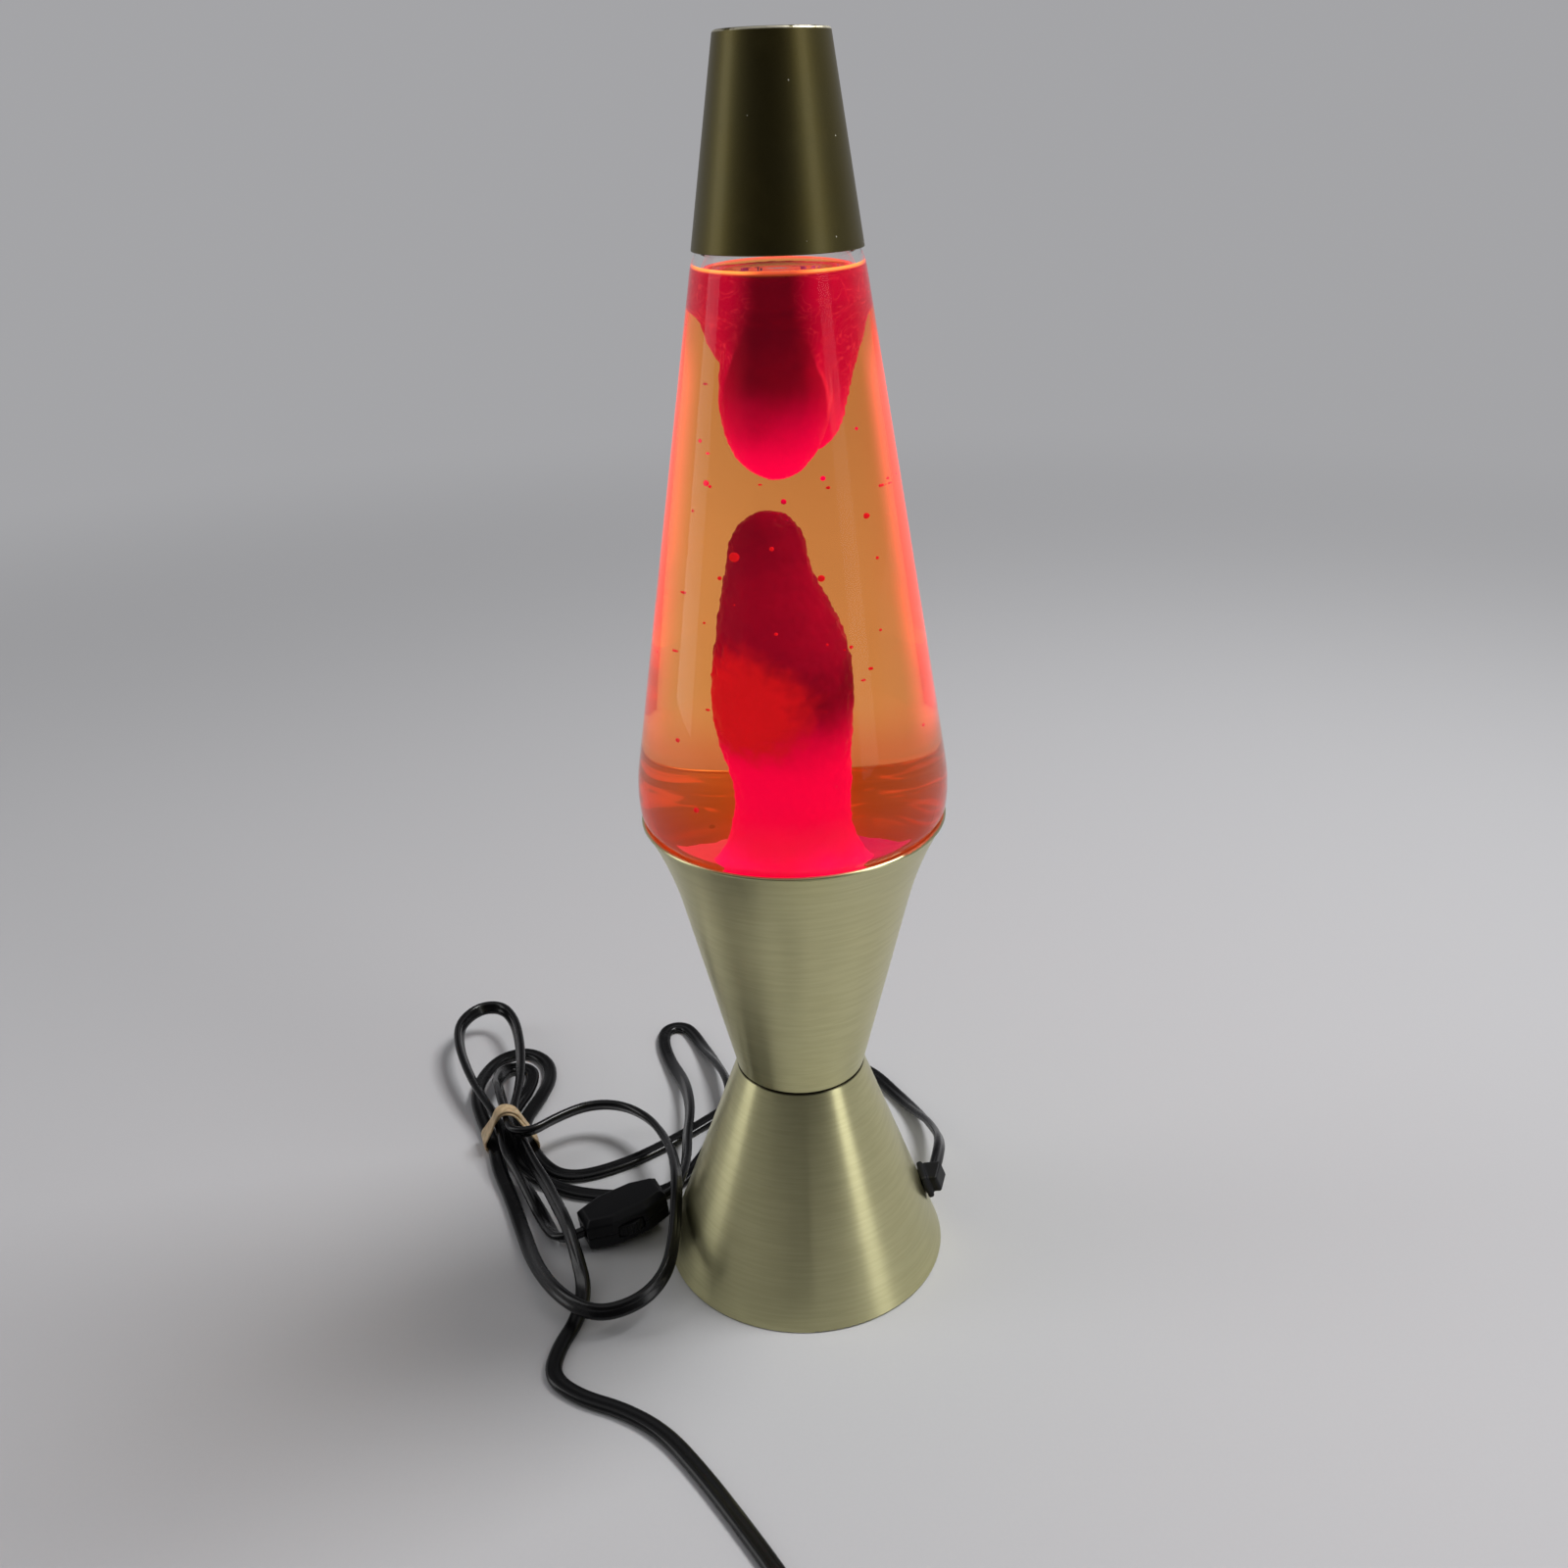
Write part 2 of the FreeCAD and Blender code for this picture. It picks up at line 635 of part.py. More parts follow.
def upper_cone():
    outer_start, outer_middle, outer_end = cup_outline(0)
    inner_start, inner_middle, inner_end = cup_outline(sheet)
    across = sheet * math.hypot(1, cup_slope)
    floor_inner = waist_radius - across + cup_slope * sheet
    lower_corner = [
        (holder_hole, waist_height, 0),
        (waist_radius, waist_height, waist_rounding),
        (outer_start.x, outer_start.z, 0),
    ]
    upper_corner = [
        (inner_start.x, inner_start.z, 0),
        (floor_inner, cup_floor_top, fold_rounding),
        (holder_hole, cup_floor_top, 0),
    ]
    edges = rounded_edges(lower_corner, False)
    edges.append(Part.Arc(outer_start, outer_middle, outer_end).toShape())
    edges.append(Part.LineSegment(outer_end, inner_end).toShape())
    edges.append(Part.Arc(inner_end, inner_middle, inner_start).toShape())
    edges += rounded_edges(upper_corner, False)
    hole_top, hole_low = V(holder_hole, 0, cup_floor_top), V(holder_hole, 0, waist_height)
    edges.append(Part.LineSegment(hole_top, hole_low).toShape())
    shell = Part.Face(Part.Wire(edges)).revolve(V(0, 0, 0), UP, 360)
    bead_centre = (outer_end + inner_end) * 0.5
    bead = Part.makeTorus(bead_centre.x, rim_bead_radius, V(0, 0, bead_centre.z), UP)
    return shell.fuse(bead)


def bottom_cover():
    top = sheet + cover_thickness
    radius = lower_cone_radius(top) - sheet_across - cover_play
    disc = cylinder(radius, sheet, top)
    for i in range(vent_count):
        turn = 2 * math.pi * i / vent_count
        x, y = vent_ring_radius * math.cos(turn), vent_ring_radius * math.sin(turn)
        disc = disc.cut(cylinder(vent_radius, 0, 2 * top, x, y))
    return disc


# Lamp holder


def holder_sleeve():
    """The threaded sleeve that goes through both cones; its thread is left plain."""
    tube_wall = cylinder(holder_radius, holder_bore_floor, holder_top)
    return tube_wall.cut(cylinder(holder_bore, holder_bottom, holder_top + holder_bore))


def holder_base():
    """The round base under the sleeve, with a hole for each terminal screw."""
    base = cylinder(holder_radius, holder_bottom, holder_bore_floor)
    for side in (-1, 1):
        x = side * terminal_spacing / 2
        high = holder_bottom + terminal_shank_length + 4 * press_play
        base = base.cut(cylinder(terminal_shank_radius + press_play, 0, high, x))
    return base


def ring_nut(radius, low, high):
    """A notched ring nut on the holder's sleeve."""
    nut = cylinder(radius, low, high).cut(cylinder(holder_radius + press_play, 0, 2 * high))
    for i in range(nut_notches):
        turn = 2 * math.pi * i / nut_notches
        ring = radius + nut_notch_centre
        nut = nut.cut(cylinder(nut_notch_radius, 0, 2 * high, ring * math.cos(turn), ring * math.sin(turn)))
    return nut


def threaded_sleeve(outer, low, high, wall, inward):
    """A thin sleeve with rolled rings at the thread's pitch, seen from the outside or the inside."""
    side = []
    first = low + thread_start
    root = outer - inward * thread_depth
    crest = outer - (1 - inward) * thread_depth
    side.append((root, low))
    for i in range(thread_turns):
        z = first + i * thread_pitch
        side.append((root, z))
        side.append((crest, z + thread_pitch / 2))
    side.append((root, first + thread_turns * thread_pitch))
    side.append((root, high))
    outline = [(r, z, 0) for r, z in side]
    outline += [(r - wall, z, 0) for r, z in reversed(side)]
    return revolved(outline)


def holder_screw_shell():
    low = holder_bore_floor + shell_lift
    high = low + thread_turns * thread_pitch + shell_above_thread
    return threaded_sleeve(holder_bore - 2 * press_play, low, high, shell_wall, 0)


def holder_centre_contact():
    """A bent brass strip: its foot on the holder's base, its tongue under the bulb's tip."""
    floor = holder_bore_floor
    rest = bulb_tip_z - seat_gap
    foot, knee = contact_foot
    bend, end = contact_tongue
    corners = [
        (foot, floor), (knee, floor), (bend, rest - contact_sheet), (end, rest - contact_sheet),
        (end, rest), (bend - contact_sheet, rest), (knee - contact_sheet, floor + contact_sheet),
        (foot, floor + contact_sheet), (foot, floor)]
    profile = Part.makePolygon([V(x, 0, z) for x, z in corners])
    strip = Part.Face(profile).extrude(V(0, contact_width, 0))
    strip.translate(V(0, -contact_width / 2, 0))
    return strip


def terminal_screws():
    screws = []
    for side in (-1, 1):
        x = side * terminal_spacing / 2
        head_low = holder_bottom - terminal_head_height
        head = cylinder(terminal_head_radius, head_low, holder_bottom, x)
        slot = Part.makeBox(
            terminal_slot_width, 4 * terminal_head_radius, terminal_slot_depth,
            V(x - terminal_slot_width / 2, -2 * terminal_head_radius, head_low))
        shank = cylinder(terminal_shank_radius, head_low + terminal_slot_depth,
                         holder_bottom + terminal_shank_length, x)
        screws.append(head.cut(slot).fuse(shank))
    return Part.makeCompound(screws)


def lead_wire(side, bends, name):
    """One conductor inside the base, from the bushing up to its terminal."""
    aside = wall_along * (side * (lead_radius + wire_gap / 2))
    start = wall_point - wall_normal * (bushing_inside + wire_gap) + aside
    x = side * terminal_spacing / 2
    end = holder_bottom - terminal_head_height - wire_gap
    points = [tuple(start), tuple(start - wall_normal * lead_way_in)]
    points += bends
    points += [(x, side, end + wire_gap - lead_last_rise), (x, 0, end)]
    return tube(points, lead_radius, name)[0]


# Bulb


def bulb_glass():
    """A blown bulb, open at the neck, where the stem closes it."""
    outline = [
        (bulb_neck_radius, bulb_neck_low, 0),
        (bulb_neck_radius, bulb_base_top + bulb_neck_height, bulb_neck_rounding),
        (bulb_radius, bulb_base_top + bulb_flare_height, bulb_flare_rounding),
        (bulb_radius, bulb_top, bulb_radius - bulb_crown_flat),
        (0, bulb_top, 0),
    ]
    inner = inset(outline, -bulb_wall)
    axis = [(0, bulb_neck_low, 0)]
    return revolved(outline + axis).cut(revolved(inner + axis))


def bulb_screw_base():
    """The rolled metal shell, with a flange inside that carries the glass."""
    low = bulb_tip_z + tip_height + insulator_height
    sleeve = threaded_sleeve(bulb_thread_radius, low, bulb_base_top, shell_wall, 1)
    collar_low = bulb_base_top - collar_drop
    collar = cylinder(bulb_base_inside + press_play, collar_low, collar_low + collar_height)
    collar = collar.cut(cylinder(bulb_neck_radius - collar_width, low, bulb_base_top))
    return sleeve.fuse(collar)


def bulb_insulator():
    low = bulb_tip_z + tip_height
    high = low + insulator_height
    wide = bulb_base_inside - press_play
    return revolved([
        (0, low, 0),
        (tip_radius + tip_bevel, low, 0),
        (wide, high, 0),
        (wide, high + insulator_rim, 0),
        (0, high + insulator_rim, 0),
    ])


def bulb_contact_tip():
    high = bulb_tip_z + tip_height - seat_gap
    return revolved([
        (0, bulb_tip_z, 0),
        (tip_radius - tip_bevel, bulb_tip_z, 0),
        (tip_radius, bulb_tip_z + tip_bevel / 2, 0),
        (tip_radius, high, 0),
        (0, high, 0),
    ])


def bulb_stem():
    """The glass stem that closes the neck and holds the wires."""
    low = bulb_neck_low
    wide = bulb_neck_radius - bulb_wall - press_play
    return revolved([
        (0, low, 0),
        (wide, low, 0),
        (wide, low + bulb_wall, 0),
        (stem_radius, low + stem_foot_height, bulb_wall),
        (stem_radius, low + stem_height, 0),
        (0, low + stem_height, 0),
    ])


def bulb_supports():
    """Two bent wires from the stem's head to the ends of the filament."""
    wires = []
    for side in (-1, 1):
        foot = V(side * support_spacing / 2, 0, bulb_neck_low + stem_height)
        top = V(side * filament_half_span, 0, filament_z - filament_radius)
        wires.append(Part.makeCylinder(support_radius, foot.distanceToPoint(top), foot, top - foot))
    stem = bulb_stem()
    return Part.makeCompound([wire.cut(stem) for wire in wires])


def bulb_filament():
    """The coiled filament as one fine bowed wire."""
    z = filament_z + filament_radius
    end = filament_half_span + support_radius
    start = V(-end, 0, z)
    bow = V(0, filament_bow[0], z + filament_bow[1])
    arc = Part.Arc(start, bow, V(end, 0, z)).toShape()
    ring = Part.Wire(Part.makeCircle(filament_radius, start, arc.tangentAt(arc.FirstParameter)))
    return Part.Wire(arc).makePipeShell([ring], True, False)


# Bottle


def bottle_side():
    """Outer side of the bottle from its bottom up to the neck, and where it rests on the rim."""
    # The lower side is turned about the foot until it clears the rim's bead by the seat gap.
    foot = V(bottle_bottom_radius, bottle_bottom_z, 0)
    reach = V(rim_radius - sheet / 2, rim_height, 0) - foot
    tilt = math.atan2(reach.y, reach.x) + math.asin((seat_gap + rim_bead_radius) / reach.Length)
    rise = math.tan(tilt)
    knuckle_z = rim_height + knuckle_above_rim
    steep_radius = bulge_radius - knuckle_slope * (bulge_z - knuckle_z)
    knuckle_radius = min(foot.x + (knuckle_z - foot.y) / rise, steep_radius)
    return [
        (bottle_bottom_radius, bottle_bottom_z, bottom_rounding),
        (knuckle_radius, foot.y + (knuckle_radius - foot.x) * rise, knuckle_rounding),
        (bulge_radius, bulge_z, bulge_rounding),
        (shoulder_radius, shoulder_z, shoulder_rounding),
        (neck_radius, neck_foot_z, neck_rounding),
    ]


def bottle_glass():
    """The sealed bottle's glass, from the punt in its bottom to the lip round its mouth."""
    lip = bottle_top_z - finish_height
    punt_z = bottle_bottom_z + punt_depth
    outer = [
        (0, punt_z, 0),
        (punt_radius - punt_side / 2, punt_z, punt_depth),
        (punt_radius + punt_side / 2, bottle_bottom_z, punt_depth / 2),
    ]
    outer += bottle_side()
    outer += [
        (neck_radius, lip - (finish_radius - neck_radius), finish_rounding),
        (finish_radius, lip, finish_rounding),
        (finish_radius, bottle_top_z, mouth_rounding),
        (mouth_radius, bottle_top_z, finish_rounding),
    ]
    inner = bottle_inside(0)
    outline = outer + [(mouth_radius, inner[-1][1], 0)]
    return revolved(outline + inner[::-1])


def bottle_inside(gap):
    """Inner side of the glass from the centre of the bottom up to the bore, moved inwards by gap."""
    wall = glass_wall + gap
    floor = bottle_floor_z + gap
    side = inset([(0, bottle_bottom_z, 0)] + bottle_side(), -wall)[1:]
    # Its first corner is moved up along the side to the floor, its last one along it to the bore.
    (low_r, low_z, _), (next_r, next_z, _) = side[:2]
    share = (floor - low_z) / (next_z - low_z)
    side[0] = (low_r + (next_r - low_r) * share, floor, floor_rounding)
    (before_r, before_z, _), (last_r, last_z, _) = side[-2:]
    bore = mouth_radius - gap
    share = (before_r - bore) / (before_r - last_r)
    side[-1] = (bore, before_z + (last_z - before_z) * share, 0)
    return [(0, floor, 0)] + side


def filled(low, high, gap):
    """What fills the bottle between two levels, clear of the glass by gap."""
    side = bottle_inside(gap)
    body = revolved(side + [(0, side[-1][1], 0)])
    return body.common(cylinder(2 * bulge_radius, low, high))


def in_height(levels):
    return [(wax_height(share), radius, x, y) for share, radius, x, y in levels]


def wax_lower(grow):
    """The pool on the bottom and the column that rises from it, wider all round by grow."""
    pool = filled(0, pool_top_z + grow, 2 * fill_gap - grow)
    root = [(pool_top_z - pool_sunk, column_root_radius, wax_column[0][2], wax_column[0][3])]
    return pool.fuse(lofted_wax(root + in_height(wax_column), grow))


def wax_upper(grow):
    """The wax under the surface, the funnel below it and the drop in front, wider by grow."""
    low = wax_height(wax_band)
    band = filled(low - grow, liquid_level - fill_gap + grow, 2 * fill_gap - grow)
    edge = bottle_radius(low) - glass_wall - 4 * fill_gap - band_step
    funnel = in_height(wax_funnel) + [(low + band_lap, edge, 0, 0)]
    return band.fuse([lofted_wax(funnel, grow), lofted_wax(in_height(wax_drop), grow)])


def heating_coil(grow):
    return Part.makeTorus(coil_ring_radius, coil_radius + grow, V(0, 0, coil_z), UP)


def liquid():
    """What is left of the bottle's inside between the pool and the upper wax."""
    low = pool_top_z + fill_gap
    high = wax_height(wax_band) - fill_gap
    return filled(low, high, fill_gap).cut([wax_lower(fill_gap), wax_upper(fill_gap)])


def crown_liner():
    low = bottle_top_z + press_play
    return cylinder(finish_radius - finish_rounding, low, low + liner_thickness)


def crown_cap():
    """The crimped crown over the bottle's mouth; its flutes are cut from the flare."""
    inner = finish_radius + crown_play
    outer = inner + crown_thickness
    inside_top = bottle_top_z + liner_thickness + 2 * press_play
    top = inside_top + crown_thickness
    low = top - crown_skirt
    cap = revolved([
        (0, top, 0),
        (outer, top, crown_rounding),
        (outer, top - crown_straight, crown_thickness),
        (outer + crown_flare, low, crown_thickness / 2),
        (inner, low, crown_thickness / 5),
        (inner, inside_top, crown_rounding / 2),
        (0, inside_top, 0),
    ])
    ring = outer + crown_flare + crown_tooth_centre
    for i in range(crown_teeth):
        turn = 2 * math.pi * i / crown_teeth
        x, y = ring * math.cos(turn), ring * math.sin(turn)
        cap = cap.cut(cylinder(crown_tooth_radius, 0, top - crown_straight, x, y))
    return cap


def top_cap():
    """Loose cap: its bottom edge rests on the bottle's shoulder, clear by the seat gap."""
    slope = (bottle_radius(shoulder_z) - neck_radius) / (neck_foot_z - shoulder_z)
    shoulder = bottle_radius(shoulder_z) - slope * (cap_bottom_z - shoulder_z)
    inner_bottom = shoulder + seat_gap * math.hypot(1, slope)
    outer_bottom = inner_bottom + sheet
    taper = (outer_bottom - cap_top_radius) / (lamp_height - cap_bottom_z)
    inner_top = cap_top_radius - sheet + taper * sheet
    return revolved([
        (0, lamp_height, 0),
        (cap_top_radius, lamp_height, cap_edge_rounding),
        (outer_bottom, cap_bottom_z, foot_lip_rounding),
        (inner_bottom, cap_bottom_z, foot_lip_rounding),
        (inner_top, lamp_height - sheet, fold_rounding),
        (0, lamp_height - sheet, 0),
    ])


# Where the cord leaves the base

wall_turn = math.radians(bushing_turn)
wall_normal = V(
    math.cos(foot_angle) * math.cos(wall_turn),
    math.cos(foot_angle) * math.sin(wall_turn),
    math.sin(foot_angle))
wall_along = V(-math.sin(wall_turn), math.cos(wall_turn), 0)
wall_up = wall_normal.cross(wall_along)
wall_point = V(
    lower_cone_radius(bushing_z) * math.cos(wall_turn),
    lower_cone_radius(bushing_z) * math.sin(wall_turn),
    bushing_z)
nub_turn = math.radians(bushing_nub_turn)
nub_way = wall_normal * math.cos(nub_turn) + wall_along * math.sin(nub_turn)
nub_side = wall_up.cross(nub_way)
nub_centre = wall_point + wall_normal * bushing_nub_centre
cord_exit = nub_centre + nub_way * bushing_nub_half


def cord_bushing():
    """Moulded bushing: a square flange outside, a neck through the wall, a lock, a nub for the cord."""
    wide = bushing_flange
    flange = Part.makeBox(
        wide, wide, bushing_flange_thickness - bushing_step, V(-wide / 2, -wide / 2, bushing_step))
    flange = flange.makeChamfer(bushing_bevel, flange.Edges[:])
    inside = V(0, 0, -bushing_inside)
    neck = Part.makeCylinder(bushing_neck_radius, bushing_inside + 2 * bushing_step, inside, UP)
    lock_length = bushing_inside - sheet - bushing_lock_gap
    lock = Part.makeCylinder(bushing_lock_radius, lock_length, inside, UP)
    body = placed(flange.fuse([neck, lock]), wall_point, wall_along, wall_up, wall_normal)
    size = bushing_nub
    block = Part.makeBox(2 * bushing_nub_half, size, size, V(-bushing_nub_half, -size / 2, -size / 2))
    block = block.makeFillet(bushing_nub_rounding, block.Edges[:])
    nub = placed(block, nub_centre, nub_way, nub_side, wall_up)
    room = Part.makeBox(4 * wide, 4 * wide, 2 * wide, V(-2 * wide, -2 * wide, 2 * bushing_step))
    nub = nub.common(placed(room, wall_point, wall_along, wall_up, wall_normal))
    return body.fuse(nub).removeSplitter()


# Switch

switch_yaw = math.radians(switch_turn)
switch_pitch = math.radians(switch_rise)
switch_along = V(
    math.cos(switch_pitch) * math.cos(switch_yaw),
    math.cos(switch_pitch) * math.sin(switch_yaw),
    math.sin(switch_pitch))
switch_across = V(-math.sin(switch_yaw), math.cos(switch_yaw), 0)
switch_up = switch_along.cross(switch_across)
switch_origin = V(*switch_centre)
switch_right = switch_origin + switch_along * (switch_length / 2)
switch_left = switch_origin - switch_along * (switch_length / 2)
cavity_half = switch_thickness / 2 - switch_wall
wheel_y = -wheel_offset


def at_switch(shape):
    return placed(shape, switch_origin, switch_along, switch_across, switch_up)


def switch_ring(z, shrink):
    """The eight-sided plan of the switch at one height, smaller all round by shrink."""
    end = switch_length / 2
    shoulder = end - switch_taper
    half, end_half = switch_width / 2, switch_end_width / 2
    plan = [(-end, -end_half), (-shoulder, -half), (shoulder, -half), (end, -end_half),
            (end, end_half), (shoulder, half), (-shoulder, half), (-end, end_half)]
    points = [V(x * (1 - shrink / end), y * (1 - shrink / half), z) for x, y in plan]
    return Part.makePolygon(points + points[:1])


def switch_block(shrink, chamfer):
    half = switch_thickness / 2 - shrink
    rings = [switch_ring(-half, shrink + chamfer), switch_ring(-half + chamfer, shrink),
             switch_ring(half - chamfer, shrink), switch_ring(half, shrink + chamfer)]
    return Part.makeLoft(rings, True, True)


def wheel_room():
    half = wheel_thickness / 2 + wheel_gap
    return cylinder(wheel_radius + wheel_gap, -half, half, 0, wheel_y)


def switch_shell(upper):
    """Half of the switch's case, split level with the cord."""
    case = switch_block(0, switch_chamfer).cut(switch_block(switch_wall, switch_inner_chamfer))
    low = 0.0 if upper else -switch_thickness
    long, wide = 2 * switch_length, 2 * switch_width
    half_space = Part.makeBox(long, wide, switch_thickness, V(-long / 2, -wide / 2, low))
    shell = case.common(half_space).cut(wheel_room())
    for side in (-1, 1):
        gate = Part.makeBox(
            switch_wall * 3, switch_gate_width, switch_gate_height,
            V(side * switch_length / 2 - switch_wall * 1.5, -switch_gate_width / 2, -switch_gate_height / 2))
        shell = shell.cut(gate)
    room = wheel_thickness / 2 + wheel_gap
    inside = cavity_half + 2 * press_play
    if upper:
        boss = cylinder(post_radius, room + boss_gap, inside, 0, wheel_y)
        bore = cylinder(switch_screw_radius + press_play / 2, 0, inside + boss_gap, 0, wheel_y)
        shell = shell.fuse(boss).cut(bore)
    else:
        outside = -switch_thickness / 2
        screw_hole = switch_screw_radius + 2 * press_play
        head_hole = switch_screw_head_radius + 2 * press_play
        post = cylinder(post_radius, -inside, room + post_reach, 0, wheel_y)
        shoulder = cylinder(post_radius + post_foot, -inside, -room, 0, wheel_y)
        bore = cylinder(screw_hole, 2 * outside, switch_thickness, 0, wheel_y)
        seat = cylinder(head_hole, 2 * outside, outside + switch_screw_head, 0, wheel_y)
        shell = shell.fuse([post, shoulder]).cut([bore, seat])
    return at_switch(shell)


def switch_wheel():
    half = wheel_thickness / 2
    wheel = cylinder(wheel_radius, -half, half, 0, wheel_y)
    wheel = wheel.makeChamfer(wheel_bevel, [e for e in wheel.Edges if len(e.Vertexes) == 1])
    for i in range(wheel_grooves):
        turn = 2 * math.pi * i / wheel_grooves
        ring = wheel_radius + wheel_groove_centre
        x, y = ring * math.cos(turn), wheel_y + ring * math.sin(turn)
        wheel = wheel.cut(cylinder(wheel_groove_radius, -2 * half, 2 * half, x, y))
    wheel = wheel.cut(cylinder(post_radius + post_play, -2 * half, 2 * half, 0, wheel_y))
    return at_switch(wheel.cut(bridge_shape(press_play)))


def bridge_shape(grow):
    """The bridge's bar and ring in the wheel's upper face, wider by grow."""
    high = wheel_thickness / 2
    low = high - bridge_thickness
    bar = Part.makeBox(
        bridge_length + 2 * grow, bridge_width + 2 * grow, bridge_thickness,
        V(-bridge_length / 2 - grow, wheel_y - bridge_width / 2 - grow, low))
    return bar.fuse(cylinder(post_radius + bridge_ring + grow, low, high, 0, wheel_y))


def switch_wheel_bridge():
    """Brass bar let into the wheel: it joins the two contacts at every half turn."""
    hole = cylinder(post_radius + bridge_hole, 0, wheel_thickness, 0, wheel_y)
    return at_switch(bridge_shape(0).cut(hole))


def switch_contact(side):
    """A bent brass contact: its foot on the case's floor, its finger over the wheel."""
    wide, thick = contact_blade, contact_thickness
    wall_x = wheel_radius + wheel_gap + thick
    low = wheel_thickness / 2 + wheel_gap
    y = wheel_y - wide / 2
    floor = -cavity_half + press_play
    upright = Part.makeBox(thick, wide, low + thick - floor, V(wall_x, y, floor))
    finger = Part.makeBox(wall_x - contact_reach + thick, wide, thick, V(contact_reach, y, low))
    foot = Part.makeBox(contact_foot_length, wide, thick, V(wall_x, y, floor))
    contact = upright.fuse([finger, foot]).removeSplitter()
    if side < 0:
        contact = contact.mirror(V(0, 0, 0), V(1, 0, 0))
    return at_switch(contact)


def switch_through_wire():
    """The conductor that runs through the switch uncut, below the wheel."""
    low = -cavity_half + through_wire_radius + wire_gap / 2
    end = switch_length / 2 - 2 * press_play
    (near, near_y), (far, far_y) = through_wire_bends
    points = [
        (-end, near_y, 0), (-end + near, near_y, 0), (-end + far, far_y, low),
        (end - far, far_y + press_play, low - press_play), (end - near, near_y, 0), (end, near_y, 0)]
    return at_switch(tube(points, through_wire_radius, "switch_through_wire")[0])


def switch_screw():
    low = -switch_thickness / 2 + switch_screw_sunk
    head_top = -switch_thickness / 2 + switch_screw_head
    long = 4 * switch_screw_head_radius
    head = cylinder(switch_screw_head_radius, low, head_top, 0, wheel_y)
    head = head.cut(Part.makeBox(
        switch_screw_slot, long, switch_screw_slot, V(-switch_screw_slot / 2, wheel_y - long / 2, low)))
    shank = cylinder(switch_screw_radius, low + switch_screw_slot, cavity_half, 0, wheel_y)
    return at_switch(head.fuse(shank))


# Rubber band


def band_frame():
    turn = math.radians(band_heading)
    return V(math.cos(turn), math.sin(turn), 0), V(math.sin(turn), -math.cos(turn), 0)


def band_loop(spread):
    """Outline round the three outermost strands, standing off their centres by spread."""
    rise = band_pitch * math.sin(math.radians(60)) * 2
    centres = [(-band_pitch, band_low_z), (band_pitch, band_low_z), (0.0, band_low_z + rise)]
    edges = []
    for i, (x, z) in enumerate(centres):
        before = centres[i - 1]
        after = centres[(i + 1) % 3]
        leave = V(after[1] - z, x - after[0], 0)
        arrive = V(z - before[1], before[0] - x, 0)
        leave.normalize()
        arrive.normalize()
        middle = leave + arrive
        middle.normalize()
        spots = [V(x + n.x * spread, 0, z + n.y * spread) for n in (arrive, middle, leave)]
        edges.append(Part.Arc(*spots).toShape())
        step = V(after[0] + leave.x * spread, 0, after[1] + leave.y * spread)
        edges.append(Part.LineSegment(spots[2], step).toShape())
    return Part.Wire(edges)


def rubber_band():
    inner = cord_radius + wire_gap
    outer = Part.Face(band_loop(inner + band_thickness)).extrude(V(0, band_width, 0))
    hole = Part.Face(band_loop(inner)).extrude(V(0, band_width, 0))
    ring = outer.cut(hole)
    ring.translate(V(0, -band_width / 2, 0))
    along, across = band_frame()
    return placed(ring, V(band_centre[0], band_centre[1], 0), across, along, UP)


# Spare cord and plug


table_z = cord_radius + table_gap
spare_ring = spare_radius / math.cos(math.radians(spare_step / 2))
last_bend = route_switch_to_coil[-1]
spare_heading = math.atan2(spare_start[1] - last_bend[1], spare_start[0] - last_bend[0])
spare_first = spare_heading + math.pi / 2 - math.radians(spare_step / 2)
spare_centre = (
    spare_start[0] + spare_lead * math.cos(spare_heading) - spare_ring * math.cos(spare_first),
    spare_start[1] + spare_lead * math.sin(spare_heading) - spare_ring * math.sin(spare_first))
plug_back = (
    spare_centre[0] + spare_radius + plug_aside,
    spare_centre[1] - plug_beyond,
    plug_thickness / 2 + table_gap)
plug_face = plug_back[1] - plug_relief - plug_length


def spare_route():
    """One and a bit turns, clockwise and climbing over the start, then straight into the plug."""
    points = [(spare_start[0], spare_start[1], table_z)]
    for i in range(int(spare_sweep / spare_step)):
        swept = spare_step * i
        turn = spare_first - math.radians(swept)
        share = (swept - spare_climb_start) / (spare_climb_end - spare_climb_start)
        lift = spare_lift * min(max(share, 0), 1)
        ring = spare_ring + spare_unevenness * math.sin(3 * turn) * (i > 0)
        points.append((
            spare_centre[0] + ring * math.cos(turn),
            spare_centre[1] + ring * math.sin(turn),
            table_z + lift))
    for aside, behind, above in last_bends:
        z = table_z + spare_lift if above is None else plug_back[2] + above
        points.append((plug_back[0] + aside, plug_back[1] + behind, z))
    return points + [plug_back]


